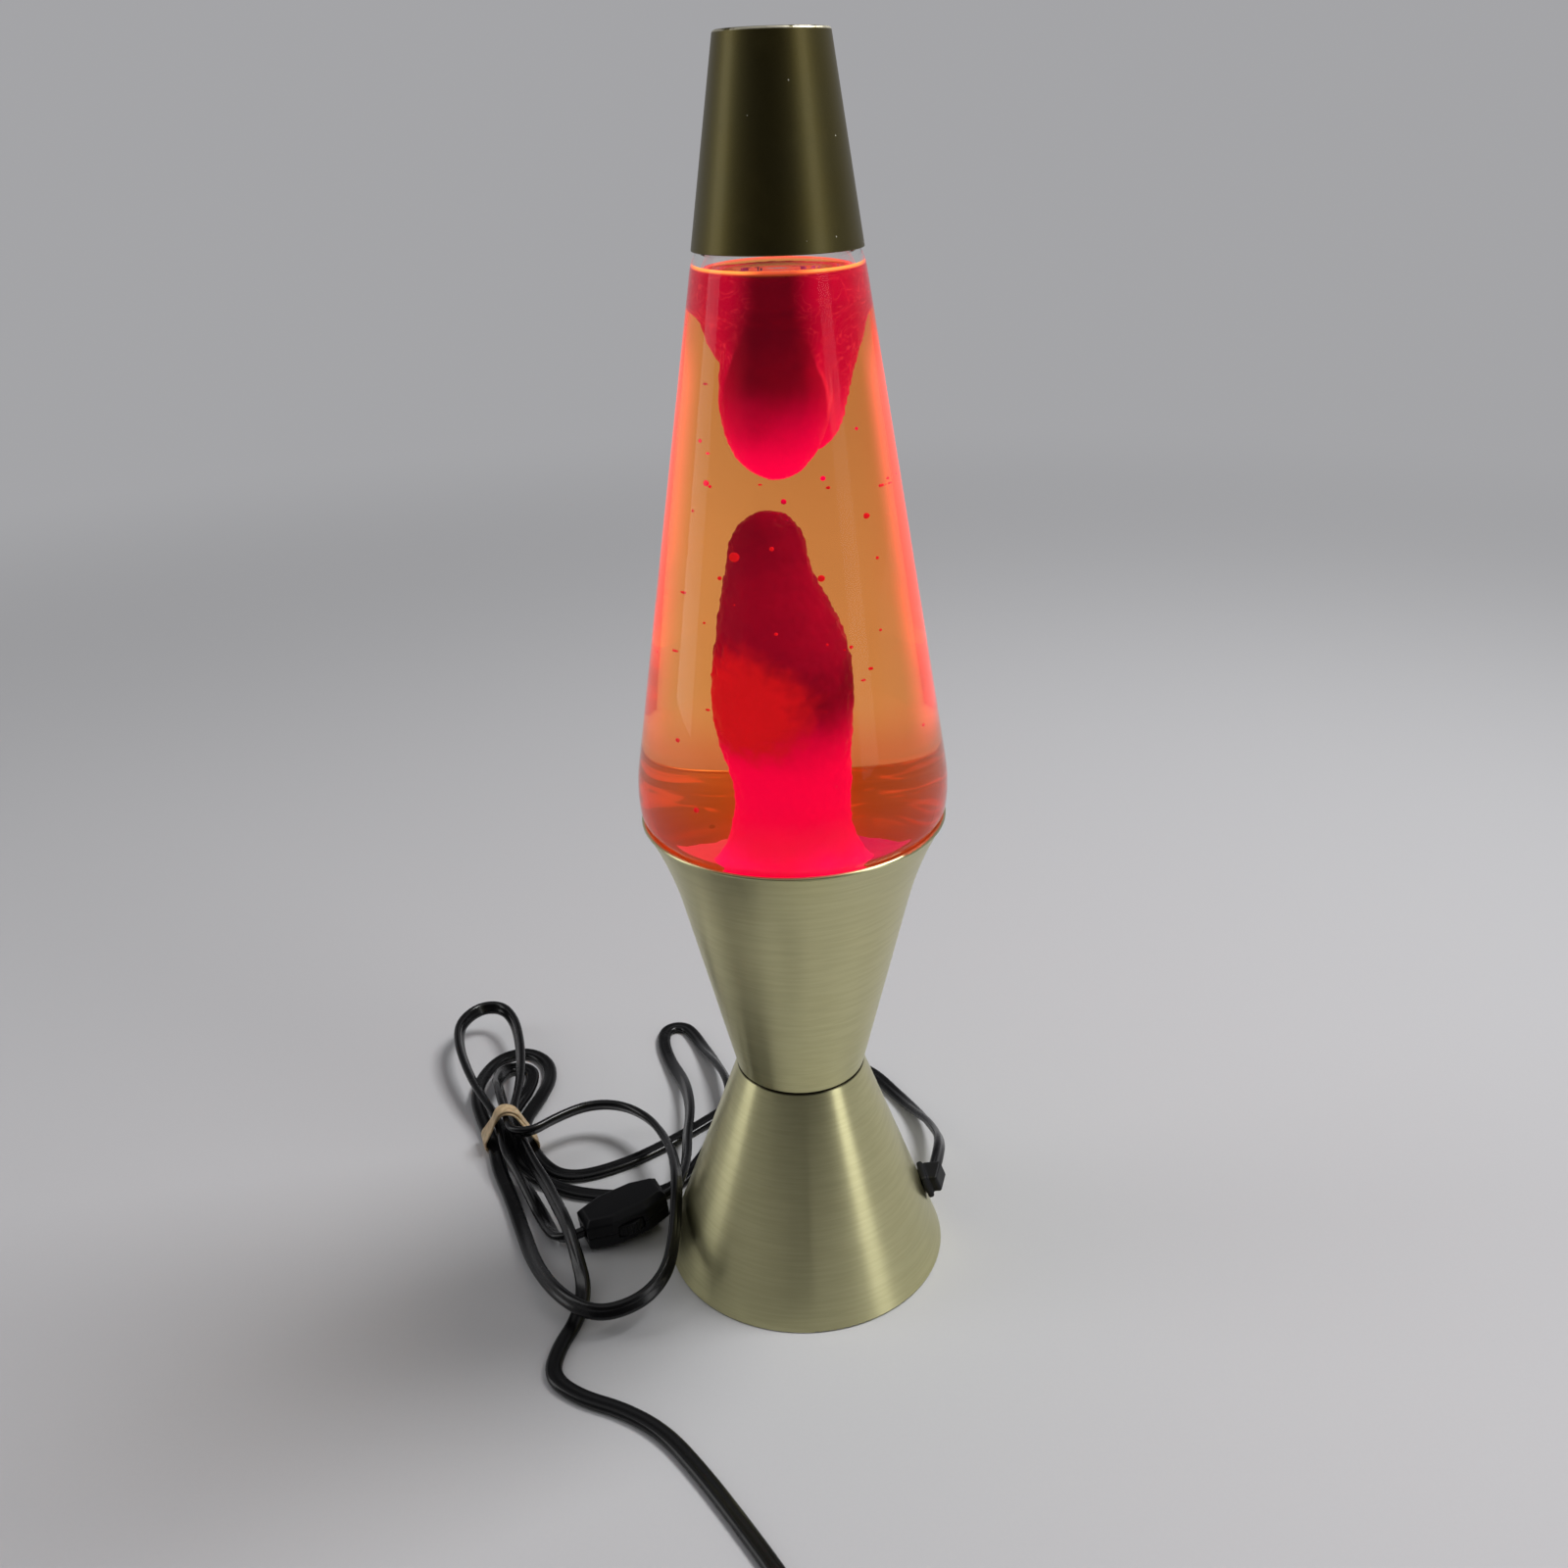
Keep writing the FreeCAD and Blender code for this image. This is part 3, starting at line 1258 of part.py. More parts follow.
def plug_body():
    """Moulded plug: a tapered relief round the cord, then a flat grip with rounded shoulders."""
    x, y, z = plug_back
    half_w, half_t = plug_width / 2, plug_thickness / 2
    grip_back = y - plug_relief
    side_back = grip_back - plug_shoulder_length
    plan = [
        (plug_shoulder, grip_back, plug_shoulder_rounding),
        (half_w, side_back, plug_side_rounding),
        (half_w, plug_face, plug_face_rounding),
        (-half_w, plug_face, plug_face_rounding),
        (-half_w, side_back, plug_side_rounding),
        (-plug_shoulder, grip_back, plug_shoulder_rounding),
    ]
    wire = Part.Wire(rounded_edges(plan, True))
    # The outline is drawn standing up, then laid level.
    wire.rotate(V(0, 0, 0), V(1, 0, 0), -90)
    grip = Part.Face(wire).extrude(V(0, 0, plug_thickness))
    box = grip.BoundBox
    grip.translate(V(x - box.Center.x, plug_face - box.YMin, z - half_t - box.ZMin))
    level = [e for e in grip.Edges if abs(e.Vertexes[0].Z - e.Vertexes[-1].Z) < 1e-6]
    grip = grip.makeFillet(plug_edge_rounding, level)
    relief = Part.makeCone(
        plug_relief_radius, plug_relief_radius + plug_relief_growth, plug_relief + plug_relief_sunk,
        V(x, y, z), V(0, -1, 0))
    body = grip.fuse(relief)
    for side, width in ((-1, blade_width), (1, blade_wide)):
        body = body.cut(blade_box(side, width, blade_play))
    return body


def blade_box(side, width, play):
    x = plug_back[0] + side * blade_spacing / 2
    z = plug_back[2]
    return Part.makeBox(
        blade_thickness + 2 * play, blade_length + blade_sunk + play, width + 2 * play,
        V(x - blade_thickness / 2 - play, plug_face - blade_length, z - width / 2 - play))


def plug_blade(side, width):
    x = plug_back[0] + side * blade_spacing / 2
    y = plug_face - blade_length + blade_hole_from_end
    start = V(x - blade_thickness, y, plug_back[2])
    hole = Part.makeCylinder(blade_hole_radius, 2 * blade_thickness, start, V(1, 0, 0))
    return blade_box(side, width, 0).cut(hole)


def save_all():
    save(lower_cone(), "lower_cone")
    save(upper_cone(), "upper_cone")
    save(bottom_cover(), "bottom_cover")
    save(holder_sleeve(), "holder_sleeve")
    save(holder_base(), "holder_base")
    upper_nut_top = cup_floor_top + upper_nut_height
    save(ring_nut(upper_nut_radius, cup_floor_top, upper_nut_top), "holder_upper_nut")
    lower_nut_low = cone_top_inside - lower_nut_height
    save(ring_nut(lower_nut_radius, lower_nut_low, cone_top_inside), "holder_lower_nut")
    save(holder_screw_shell(), "holder_screw_shell")
    save(holder_centre_contact(), "holder_centre_contact")
    save(terminal_screws(), "terminal_screws")
    save(lead_wire(1, lead_bends_live, "lead_wire_live"), "lead_wire_live")
    save(lead_wire(-1, lead_bends_neutral, "lead_wire_neutral"), "lead_wire_neutral")
    save(cord_bushing(), "cord_bushing")

    save(bulb_glass(), "bulb_glass")
    save(bulb_screw_base(), "bulb_screw_base")
    save(bulb_insulator(), "bulb_insulator")
    save(bulb_contact_tip(), "bulb_contact_tip")
    save(bulb_stem(), "bulb_stem")
    save(bulb_supports(), "bulb_supports")
    save(bulb_filament(), "bulb_filament")

    save(bottle_glass(), "bottle_glass")
    save(liquid(), "liquid")
    save(wax_lower(0).cut(heating_coil(fill_gap)), "wax_lower")
    save(wax_upper(0), "wax_upper")
    save(heating_coil(0), "heating_coil")
    save(crown_liner(), "crown_liner")
    save(crown_cap(), "crown_cap")
    save(top_cap(), "top_cap")

    save(switch_shell(True), "switch_upper_shell")
    save(switch_shell(False), "switch_lower_shell")
    save(switch_wheel(), "switch_wheel")
    save(switch_wheel_bridge(), "switch_wheel_bridge")
    save(switch_contact(1), "switch_contact_in")
    save(switch_contact(-1), "switch_contact_out")
    save(switch_through_wire(), "switch_through_wire")
    save(switch_screw(), "switch_screw")

    first = [tuple(cord_exit), tuple(cord_exit + nub_way * bushing_way_out)]
    first += route_lamp_to_switch
    first += [tuple(switch_right + switch_along * switch_way_out), tuple(switch_right)]
    second = [tuple(switch_left), tuple(switch_left - switch_along * switch_way_out)]
    second += route_switch_to_coil
    second += [(spare_start[0], spare_start[1], table_z)]
    lamp_cord, lamp_path = tube(first, cord_radius, "cord_lamp_to_switch")
    plug_cord, plug_path = tube(second, cord_radius, "cord_switch_to_coil")
    spare_cord, spare_path = tube(spare_route(), cord_radius, "cord_spare_coil")
    save(lamp_cord, "cord_lamp_to_switch")
    save(plug_cord, "cord_switch_to_coil")
    save(spare_cord, "cord_spare_coil")
    print(f"least gap between strands {least_gap([lamp_path, plug_path], cord_width, 14):.2f}")
    print(f"least gap of the spare coil to itself {least_gap([spare_path], cord_width, 20):.2f}")
    save(rubber_band(), "rubber_band")
    save(plug_body(), "plug_body")
    save(plug_blade(-1, blade_width), "plug_blade_live")
    save(plug_blade(1, blade_wide), "plug_blade_neutral")
    print("bulb top", round(bulb_top, 2), "cord exit", tuple(round(c, 2) for c in cord_exit))
    print("switch ends", tuple(round(c, 2) for c in switch_left), tuple(round(c, 2) for c in switch_right))


save_all()
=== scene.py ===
# %% [markdown]
# # Dressing a liquid motion lamp
# The lamp stands here as a frame of bare CAD parts: two spun metal cones, a sealed bottle,
# a small bulb, a loose cap, a switch and a plug. This lesson gives each part its finish and
# makes the soft parts, which are the cord and the rubber band. The parts keep their places,
# so a piece that is added only has to ask the frame where its neighbour is.

# %% Load the frame
import bpy
import json
import math
import random
from mathutils import Matrix, Vector


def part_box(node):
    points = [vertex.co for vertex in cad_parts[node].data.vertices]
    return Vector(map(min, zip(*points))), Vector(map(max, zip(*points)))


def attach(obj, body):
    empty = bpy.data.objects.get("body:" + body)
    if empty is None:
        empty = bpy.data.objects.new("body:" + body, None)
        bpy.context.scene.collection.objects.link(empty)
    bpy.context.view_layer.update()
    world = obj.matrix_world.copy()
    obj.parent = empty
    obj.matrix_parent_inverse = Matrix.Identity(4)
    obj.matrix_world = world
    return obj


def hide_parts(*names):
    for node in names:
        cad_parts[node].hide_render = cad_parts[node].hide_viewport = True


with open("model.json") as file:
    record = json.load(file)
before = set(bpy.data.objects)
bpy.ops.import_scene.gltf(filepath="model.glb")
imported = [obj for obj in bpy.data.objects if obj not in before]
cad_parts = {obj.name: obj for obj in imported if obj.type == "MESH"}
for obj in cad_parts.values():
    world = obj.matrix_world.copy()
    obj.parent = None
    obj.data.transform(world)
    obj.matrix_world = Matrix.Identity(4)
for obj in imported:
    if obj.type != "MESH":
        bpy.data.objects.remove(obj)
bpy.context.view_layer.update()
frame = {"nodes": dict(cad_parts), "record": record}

nodes = frame["nodes"]
scene = bpy.context.scene
scene.view_settings.view_transform = "Standard"
MM = 0.001  # the frame is in metres, and small sizes are easier to read in millimetres

# %% [markdown]
# ## The camera
# The photograph was taken standing at the table, a little above the lamp and looking down at
# it. The camera is turned in three steps: it tips down from level, rolls by a degree or two,
# and swings a hair to the side. The frame is square, and 36 mm of sensor see it whole.

# %% Camera
camera_place = Vector((0, -0.39414, 0.35097))
camera_down = math.radians(24.72)
camera_roll = math.radians(-1.79)
camera_swing = math.radians(0.38)
sensor_width = 36
lens_length = 33.716

camera_data = bpy.data.cameras.new("camera")
camera_data.sensor_width = sensor_width
camera_data.lens = lens_length
camera_data.clip_start = 0.01
camera = bpy.data.objects.new("camera", camera_data)
bpy.context.collection.objects.link(camera)
turn = Matrix.Rotation(camera_swing, 4, "Z")
turn = turn @ Matrix.Rotation(math.pi / 2 - camera_down, 4, "X")
turn = turn @ Matrix.Rotation(camera_roll, 4, "Z")
camera.matrix_world = Matrix.Translation(camera_place) @ turn
scene.camera = camera
print("camera at", [round(c, 4) for c in camera_place], "with a lens of", lens_length, "mm")

# %% [markdown]
# ## The cord's route
# The cord is a flat twin lead. It leaves the bushing at the lamp's right, goes round behind
# it, is folded into a bundle that a rubber band holds, and comes to the switch. From there it
# goes back through the band, out again and past the front edge of the picture. The points
# below are the ones that the CAD model's plain tube follows. They steer a smooth NURBS line,
# which passes near them without touching each one, as a real lead does that has no corners.

# %% Route of the cord, in metres
cord_width = 5.3 * MM
cord_thickness = 2.75 * MM
table_gap = 0.15 * MM

cord_exit = Vector((0.04495, 0.00917, 0.01839))
exit_way = Vector((0.284, 0.948, 0.143)).normalized()
way_out_of_bushing = 8 * MM
route_lamp_to_switch = [
    (0.0484, 0.025, 0.0176), (0.0486, 0.0355, 0.0124), (0.0468, 0.049, 0.0072), (0.0425, 0.062, 0.0038),
    (0.036, 0.075, 0.0028), (0.0285, 0.0885, 0.0028), (0.0165, 0.0975, 0.0028), (0.0015, 0.098, 0.0028),
    (-0.012, 0.088, 0.0028), (-0.023, 0.074, 0.0028), (-0.035, 0.061, 0.0028), (-0.0505, 0.047, 0.0028),
    (-0.065, 0.0365, 0.0028), (-0.0795, 0.0303, 0.0028), (-0.0885, 0.031, 0.0029),
    (-0.0945, 0.036, 0.0032), (-0.0986, 0.0415, 0.0038), (-0.1035, 0.0506, 0.004),
    (-0.1062, 0.0615, 0.0038), (-0.1018, 0.076, 0.0036), (-0.0996, 0.09, 0.003),
    (-0.103, 0.1023, 0.0028), (-0.1125, 0.109, 0.0028), (-0.1225, 0.1045, 0.003),
    (-0.1275, 0.0915, 0.0033), (-0.1275, 0.077, 0.0038), (-0.1208, 0.06, 0.0038),
    (-0.1146, 0.0468, 0.004), (-0.1114, 0.0345, 0.0037), (-0.1045, 0.02, 0.003), (-0.098, 0.003, 0.0032),
    (-0.0898, -0.0185, 0.0052), (-0.079, -0.0365, 0.0088), (-0.0663, -0.0463, 0.0098),
    (-0.0528, -0.0418, 0.0104), (-0.045, -0.0325, 0.0128), (-0.0428, -0.02, 0.0165),
    (-0.0429, -0.008, 0.0195), (-0.0434, 0.005, 0.0198), (-0.045, 0.0175, 0.0183),
    (-0.0486, 0.031, 0.016), (-0.056, 0.046, 0.0146), (-0.0675, 0.0555, 0.0139), (-0.08, 0.0558, 0.014),
    (-0.091, 0.0475, 0.0148), (-0.099, 0.0386, 0.0154), (-0.1062, 0.0405, 0.0146),
    (-0.109, 0.0485, 0.01405), (-0.113, 0.0595, 0.0142), (-0.1158, 0.069, 0.0129),
    (-0.1186, 0.078, 0.009), (-0.1194, 0.086, 0.0058), (-0.1192, 0.0935, 0.0042),
    (-0.1157, 0.0972, 0.0033), (-0.1107, 0.0972, 0.003), (-0.1072, 0.0934, 0.0029),
    (-0.1074, 0.083, 0.0029), (-0.1103, 0.071, 0.0034), (-0.1132, 0.0598, 0.0037),
    (-0.109, 0.0485, 0.004), (-0.1045, 0.037, 0.0036), (-0.099, 0.031, 0.0032), (-0.092, 0.0265, 0.0029),
    (-0.0834, 0.0218, 0.0028), (-0.071, 0.019, 0.0028), (-0.057, 0.0188, 0.0028),
    (-0.047, 0.022, 0.0028), (-0.0409, 0.031, 0.0028), (-0.035, 0.042, 0.0032),
    (-0.0295, 0.0535, 0.0064), (-0.027, 0.065, 0.0089), (-0.0288, 0.077, 0.0088),
    (-0.0335, 0.092, 0.0056), (-0.0395, 0.107, 0.0032), (-0.0447, 0.1192, 0.0028),
    (-0.0482, 0.1236, 0.0028), (-0.053, 0.1239, 0.0028), (-0.0565, 0.12, 0.0028),
    (-0.0563, 0.111, 0.0028), (-0.0525, 0.098, 0.003), (-0.0476, 0.085, 0.0046),
    (-0.0438, 0.0705, 0.0076), (-0.042, 0.0565, 0.0089), (-0.0426, 0.0425, 0.0088),
    (-0.042, 0.032, 0.009), (-0.0424, 0.023, 0.0095), (-0.0436, 0.0158, 0.01),
]

switch_centre = Vector((-0.0622, 0.002, 0.0083))
switch_turn = math.radians(26.9)
switch_rise = math.radians(5.6)
switch_length = 29.3 * MM
way_out_of_switch = 5 * MM
switch_along = Vector((
    math.cos(switch_rise) * math.cos(switch_turn),
    math.cos(switch_rise) * math.sin(switch_turn),
    math.sin(switch_rise)))
switch_right = switch_centre + switch_along * (switch_length / 2)
switch_left = switch_centre - switch_along * (switch_length / 2)
route_switch_to_coil = [
    (-0.0849, -0.0052, 0.0052), (-0.0886, 0.0025, 0.0036), (-0.093, 0.0115, 0.0032),
    (-0.0985, 0.0205, 0.005), (-0.1038, 0.0283, 0.0075), (-0.1083, 0.036, 0.0088),
    (-0.1117, 0.0477, 0.00905), (-0.1164, 0.059, 0.0089), (-0.1245, 0.0715, 0.0098),
    (-0.1315, 0.085, 0.011), (-0.1375, 0.1, 0.012), (-0.14, 0.115, 0.012), (-0.134, 0.1265, 0.012),
    (-0.1245, 0.127, 0.012), (-0.1175, 0.1165, 0.0118), (-0.113, 0.101, 0.011),
    (-0.1105, 0.0865, 0.0102), (-0.1094, 0.0735, 0.0094), (-0.1098, 0.0608, 0.0089),
    (-0.1063, 0.0497, 0.00905), (-0.1018, 0.0382, 0.0091), (-0.0974, 0.0285, 0.0094),
    (-0.091, 0.0175, 0.0096), (-0.0852, 0.0045, 0.0108), (-0.0803, -0.007, 0.013),
    (-0.076, -0.0175, 0.009), (-0.0724, -0.0275, 0.004), (-0.0735, -0.0395, 0.0028),
    (-0.078, -0.051, 0.0028), (-0.079, -0.0625, 0.0028), (-0.0695, -0.0705, 0.0028),
    (-0.055, -0.076, 0.0028), (-0.0425, -0.0845, 0.0028), (-0.031, -0.099, 0.0028),
    (-0.02, -0.115, 0.0028), (-0.0084, -0.1328, 0.0028),
]
print("route points", len(route_lamp_to_switch), "and", len(route_switch_to_coil))

# %% [markdown]
# ### The spare cord
# Six feet is the usual length of such a lead, and the picture shows a bit more than four. The
# rest is wound up on the table, just past the picture's front edge. A loop works out its
# points: one turn and a bit, clockwise, which climbs over its own start and ends in the plug.

# %% Spare coil and plug, in metres
table_z = cord_width / 2 + table_gap
spare_start = Vector((0.0022, -0.1509, table_z))
spare_radius = 28 * MM
spare_lead = 14.6 * MM
spare_sweep = 390
spare_step = 30
spare_climb = (210, 300)
spare_lift = 5.85 * MM
spare_unevenness = 0.4 * MM
plug_beyond = 34 * MM
plug_aside = 0.4 * MM
plug_thickness = 12 * MM
bend_top = Vector((0.4, 20, 0)) * MM         # the bend's points, from the plug's back
bend_middle = Vector((0.1, 11.5, 1)) * MM
bend_foot = Vector((0, 6, 0)) * MM


def spare_route():
    """The coil's points and the last bend into the plug."""
    ring = spare_radius / math.cos(math.radians(spare_step / 2))
    last = Vector(route_switch_to_coil[-1])
    heading = math.atan2(spare_start.y - last.y, spare_start.x - last.x)
    first = heading + math.pi / 2 - math.radians(spare_step / 2)
    centre = Vector((
        spare_start.x + spare_lead * math.cos(heading) - ring * math.cos(first),
        spare_start.y + spare_lead * math.sin(heading) - ring * math.sin(first), 0))
    points = [spare_start]
    for i in range(spare_sweep // spare_step):
        swept = spare_step * i
        angle = first - math.radians(swept)
        share = (swept - spare_climb[0]) / (spare_climb[1] - spare_climb[0])
        lift = spare_lift * min(max(share, 0), 1)
        reach = ring + spare_unevenness * math.sin(3 * angle) * (i > 0)
        place = Vector((reach * math.cos(angle), reach * math.sin(angle), table_z + lift))
        points.append(centre + place)
    plug_back = centre + Vector((spare_radius + plug_aside, -plug_beyond, plug_thickness / 2 + table_gap))
    top = plug_back + bend_top
    top.z = table_z + spare_lift
    return points + [top, plug_back + bend_middle, plug_back + bend_foot, plug_back]


# %% [markdown]
# ## Making the cord
# A flat lead lies on its wide side where it can, and stands up on its edge where it is
# squeezed among other strands. A curve's points carry a tilt for just that, and a curve that
# is swept with a small profile takes the twist with it. The profile is two round conductors
# side by side with a groove between them.

# %% Lines and sections of the cord
flat_below = 3.0 * MM     # a strand whose middle is this low lies flat on the table
edge_above = 6.0 * MM     # and one this high among the others stands on its edge
steepest_tilt = math.radians(62)
conductor_steps = 7
conductor_arc = 1.36 * math.pi


def nurbs_curve(name, points, tilts):
    """A smooth open curve that the points steer, with a tilt at each."""
    data = bpy.data.curves.new(name, "CURVE")
    data.dimensions = "3D"
    data.resolution_u = 8
    data.twist_mode = "Z_UP"
    spline = data.splines.new("NURBS")
    spline.points.add(len(points) - 1)
    for point, place, tilt in zip(spline.points, points, tilts):
        point.co = (*place, 1)
        point.tilt = tilt
    spline.order_u = 3
    spline.use_endpoint_u = True
    curve = bpy.data.objects.new(name, data)
    bpy.context.collection.objects.link(curve)
    return curve


def line_of(curve):
    """The points that the curve really passes through."""
    bpy.context.view_layer.update()
    mesh = bpy.data.meshes.new_from_object(curve)
    points = [v.co.copy() for v in mesh.vertices]
    bpy.data.meshes.remove(mesh)
    return points


def twin_profile():
    """The lead's cross-section: two round conductors with a groove between them."""
    radius = cord_thickness / 2
    half_pitch = cord_width / 2 - radius
    outline = []
    for side in (1, -1):
        for i in range(conductor_steps + 1):
            angle = conductor_arc * (i / conductor_steps - 0.5)
            x = side * (half_pitch + radius * math.cos(angle))
            outline.append((x, side * radius * math.sin(angle)))
    data = bpy.data.curves.new("lead_profile", "CURVE")
    data.dimensions = "2D"
    spline = data.splines.new("POLY")
    spline.points.add(len(outline) - 1)
    for point, place in zip(spline.points, outline):
        point.co = (*place, 0, 1)
    spline.use_cyclic_u = True
    profile = bpy.data.objects.new("lead_profile", data)
    bpy.context.collection.objects.link(profile)
    return profile


# %% Sweeping the section along the line
def swept_cord(name, points, tilts):
    """A lead along the points as a mesh; returns it and the line that it follows."""
    curve = nurbs_curve(name + "_line", points, tilts)
    line = line_of(curve)
    profile = twin_profile()
    curve.data.bevel_mode = "OBJECT"
    curve.data.bevel_object = profile
    curve.data.use_fill_caps = True
    bpy.context.view_layer.update()
    seen = bpy.context.evaluated_depsgraph_get()
    mesh = bpy.data.meshes.new_from_object(curve.evaluated_get(seen), depsgraph=seen)
    mesh.name = name
    lead = bpy.data.objects.new(name, mesh)
    bpy.context.collection.objects.link(lead)
    bpy.data.objects.remove(curve)
    bpy.data.objects.remove(profile)
    mesh.shade_smooth()
    length = sum((b - a).length for a, b in zip(line, line[1:]))
    print(name, "length", round(length, 4), "m, faces", len(mesh.polygons))
    return lead, line


# %% [markdown]
# The CAD tube is as thick as the lead is wide. Where the lead lies flat, its line is lowered
# by the difference, so that it rests on the table and not above it.

# %% Tilt and height of each point
def laid(points):
    """The points with the flat lead's own heights, and the tilt at each."""
    lower, tilts = [], []
    for x, y, z in points:
        share = min(max((z - flat_below) / (edge_above - flat_below), 0), 1)
        tilt = steepest_tilt * share
        height = cord_thickness + (cord_width - cord_thickness) * math.sin(tilt)
        lower.append(Vector((x, y, z - (cord_width - height) / 2)))
        tilts.append(tilt)
    return lower, tilts


# %% Cord from the bushing to the switch
lamp_points = [cord_exit, cord_exit + exit_way * way_out_of_bushing]
lamp_points += [Vector(p) for p in route_lamp_to_switch]
lamp_points += [switch_right + switch_along * way_out_of_switch, switch_right]
lamp_cord, lamp_line = swept_cord("cord_from_the_lamp", *laid(lamp_points))
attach(lamp_cord, "base")
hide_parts("cord_lamp_to_switch")

# %% Cord from the switch to the plug
plug_points = [switch_left, switch_left - switch_along * way_out_of_switch]
plug_points += [Vector(p) for p in route_switch_to_coil]
plug_points += spare_route()
plug_cord, plug_line = swept_cord("cord_to_the_plug", *laid(plug_points))
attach(plug_cord, "base")
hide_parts("cord_switch_to_coil", "cord_spare_coil")

# %% [markdown]
# ## Writing materials
# Every finish here is a small tree of shader nodes. One helper adds a node, sets it up and
# wires it, so that a material reads from top to bottom. What several finishes share, such as
# the lines of brushed metal, the marks of handling, dust and the grain of moulded plastic, is
# a node group that each of them uses with its own values.

# %% Node helpers
def put(tree, kind, inputs=None, **settings):
    """Add a shader node, set it up, and wire or set its inputs."""
    node = tree.nodes.new("ShaderNode" + kind)
    for name, value in settings.items():
        setattr(node, name, value)
    for key, value in (inputs or {}).items():
        if isinstance(value, bpy.types.NodeSocket):
            tree.links.new(value, node.inputs[key])
        else:
            node.inputs[key].default_value = value
    return node


def math_node(tree, operation, first, second=0.5, third=0.5):
    """The result of one sum."""
    return put(tree, "Math", {0: first, 1: second, 2: third}, operation=operation).outputs[0]


def product(tree, result, *factors):
    """Several shares multiplied with each other."""
    for factor in factors:
        result = math_node(tree, "MULTIPLY", result, factor)
    return result


def between(tree, value, low, high, new_low=0.0, new_high=1.0):
    """A value's smooth rise from new_low to new_high while it goes from low to high."""
    inputs = {"Value": value, "From Min": low, "From Max": high, "To Min": new_low, "To Max": new_high}
    return put(tree, "MapRange", inputs, interpolation_type="SMOOTHSTEP").outputs["Result"]


def zone(tree, value, comes, goes):
    """A share that comes over one stretch of a value and goes again over another."""
    return product(tree, between(tree, value, *comes), between(tree, value, *goes))


def mixed(tree, share, first, second, blend_type="MIX"):
    """Two colours mixed by a share."""
    first = first if isinstance(first, bpy.types.NodeSocket) else (*first, 1)
    second = second if isinstance(second, bpy.types.NodeSocket) else (*second, 1)
    inputs = {0: share, 6: first, 7: second}
    return put(tree, "Mix", inputs, data_type="RGBA", blend_type=blend_type).outputs[2]


def layered(tree, colour, layers):
    """A colour with others laid over it one after another, each by its share."""
    for share, over in layers:
        colour = mixed(tree, share, colour, over)
    return colour


# %% [markdown]
# Patterns are read in the piece's own coordinates. They are in metres, so a scale of 100 is a
# hundred waves to the metre, and a pattern stays on its piece when a joint moves.

# %% Helpers for places and patterns
def object_place(tree):
    """The place on the piece, in metres."""
    return put(tree, "TexCoord").outputs["Object"]


def axis_of(tree, place, axis):
    """One coordinate of a place or a direction."""
    return put(tree, "SeparateXYZ", {0: place}).outputs[axis]


def stretched(tree, place, factors):
    """A place with each of its coordinates multiplied by its own factor."""
    return put(tree, "VectorMath", {0: place, 1: factors}, operation="MULTIPLY").outputs[0]


def length_of(tree, place):
    """How far a place is from the origin."""
    return put(tree, "VectorMath", {0: place}, operation="LENGTH").outputs["Value"]


def noise(tree, place, scale, detail=2.0, roughness=0.5, distortion=0.0):
    """Smooth noise of so many waves to the metre."""
    inputs = {
        "Vector": place, "Scale": scale, "Detail": detail, "Roughness": roughness,
        "Distortion": distortion}
    return put(tree, "TexNoise", inputs).outputs[0]


def bumped(tree, height, strength, depth):
    """The normal of a surface that a pattern raises and lowers."""
    return put(tree, "Bump", {"Strength": strength, "Distance": depth, "Height": height}).outputs[0]


def new_material(name):
    """An empty material and its tree."""
    material = bpy.data.materials.new(name)
    material.use_nodes = True
    material.node_tree.nodes.clear()
    return material, material.node_tree


def surface(tree, shader):
    """Put a shader on the surface."""
    put(tree, "OutputMaterial", {"Surface": shader})


# %% Node group helpers
FLOAT = "NodeSocketFloat"
VECTOR = "NodeSocketVector"


def new_group(name, inputs, outputs):
    """A group with numbers as inputs, and the nodes at its start and end."""
    group = bpy.data.node_groups.new(name, "ShaderNodeTree")
    for label, value in inputs.items():
        socket = group.interface.new_socket(label, in_out="INPUT", socket_type=FLOAT)
        socket.default_value = value
    for label, kind in outputs.items():
        group.interface.new_socket(label, in_out="OUTPUT", socket_type=kind)
    return group, group.nodes.new("NodeGroupInput"), group.nodes.new("NodeGroupOutput")


def use_group(tree, group, **inputs):
    """A group placed in a tree with its own values."""
    node = tree.nodes.new("ShaderNodeGroup")
    node.node_tree = group
    for name, value in inputs.items():
        node.inputs[name.capitalize()].default_value = value
    return node


def mask_of(tree, group, **inputs):
    """The mask of a group that is placed in a tree with its own values."""
    return use_group(tree, group, **inputs).outputs["Mask"]


# %% [markdown]
# ### Lines of brushed metal
# A spun cone is finished on the lathe, with a pad that leaves fine rings round it. The noise
# is read on a circle, so that it has no seam, and squeezed along the profile.

# %% Group for brushed metal
profile_slope = -0.5
broad_stretch = (0.8, 0.8, 0.3)


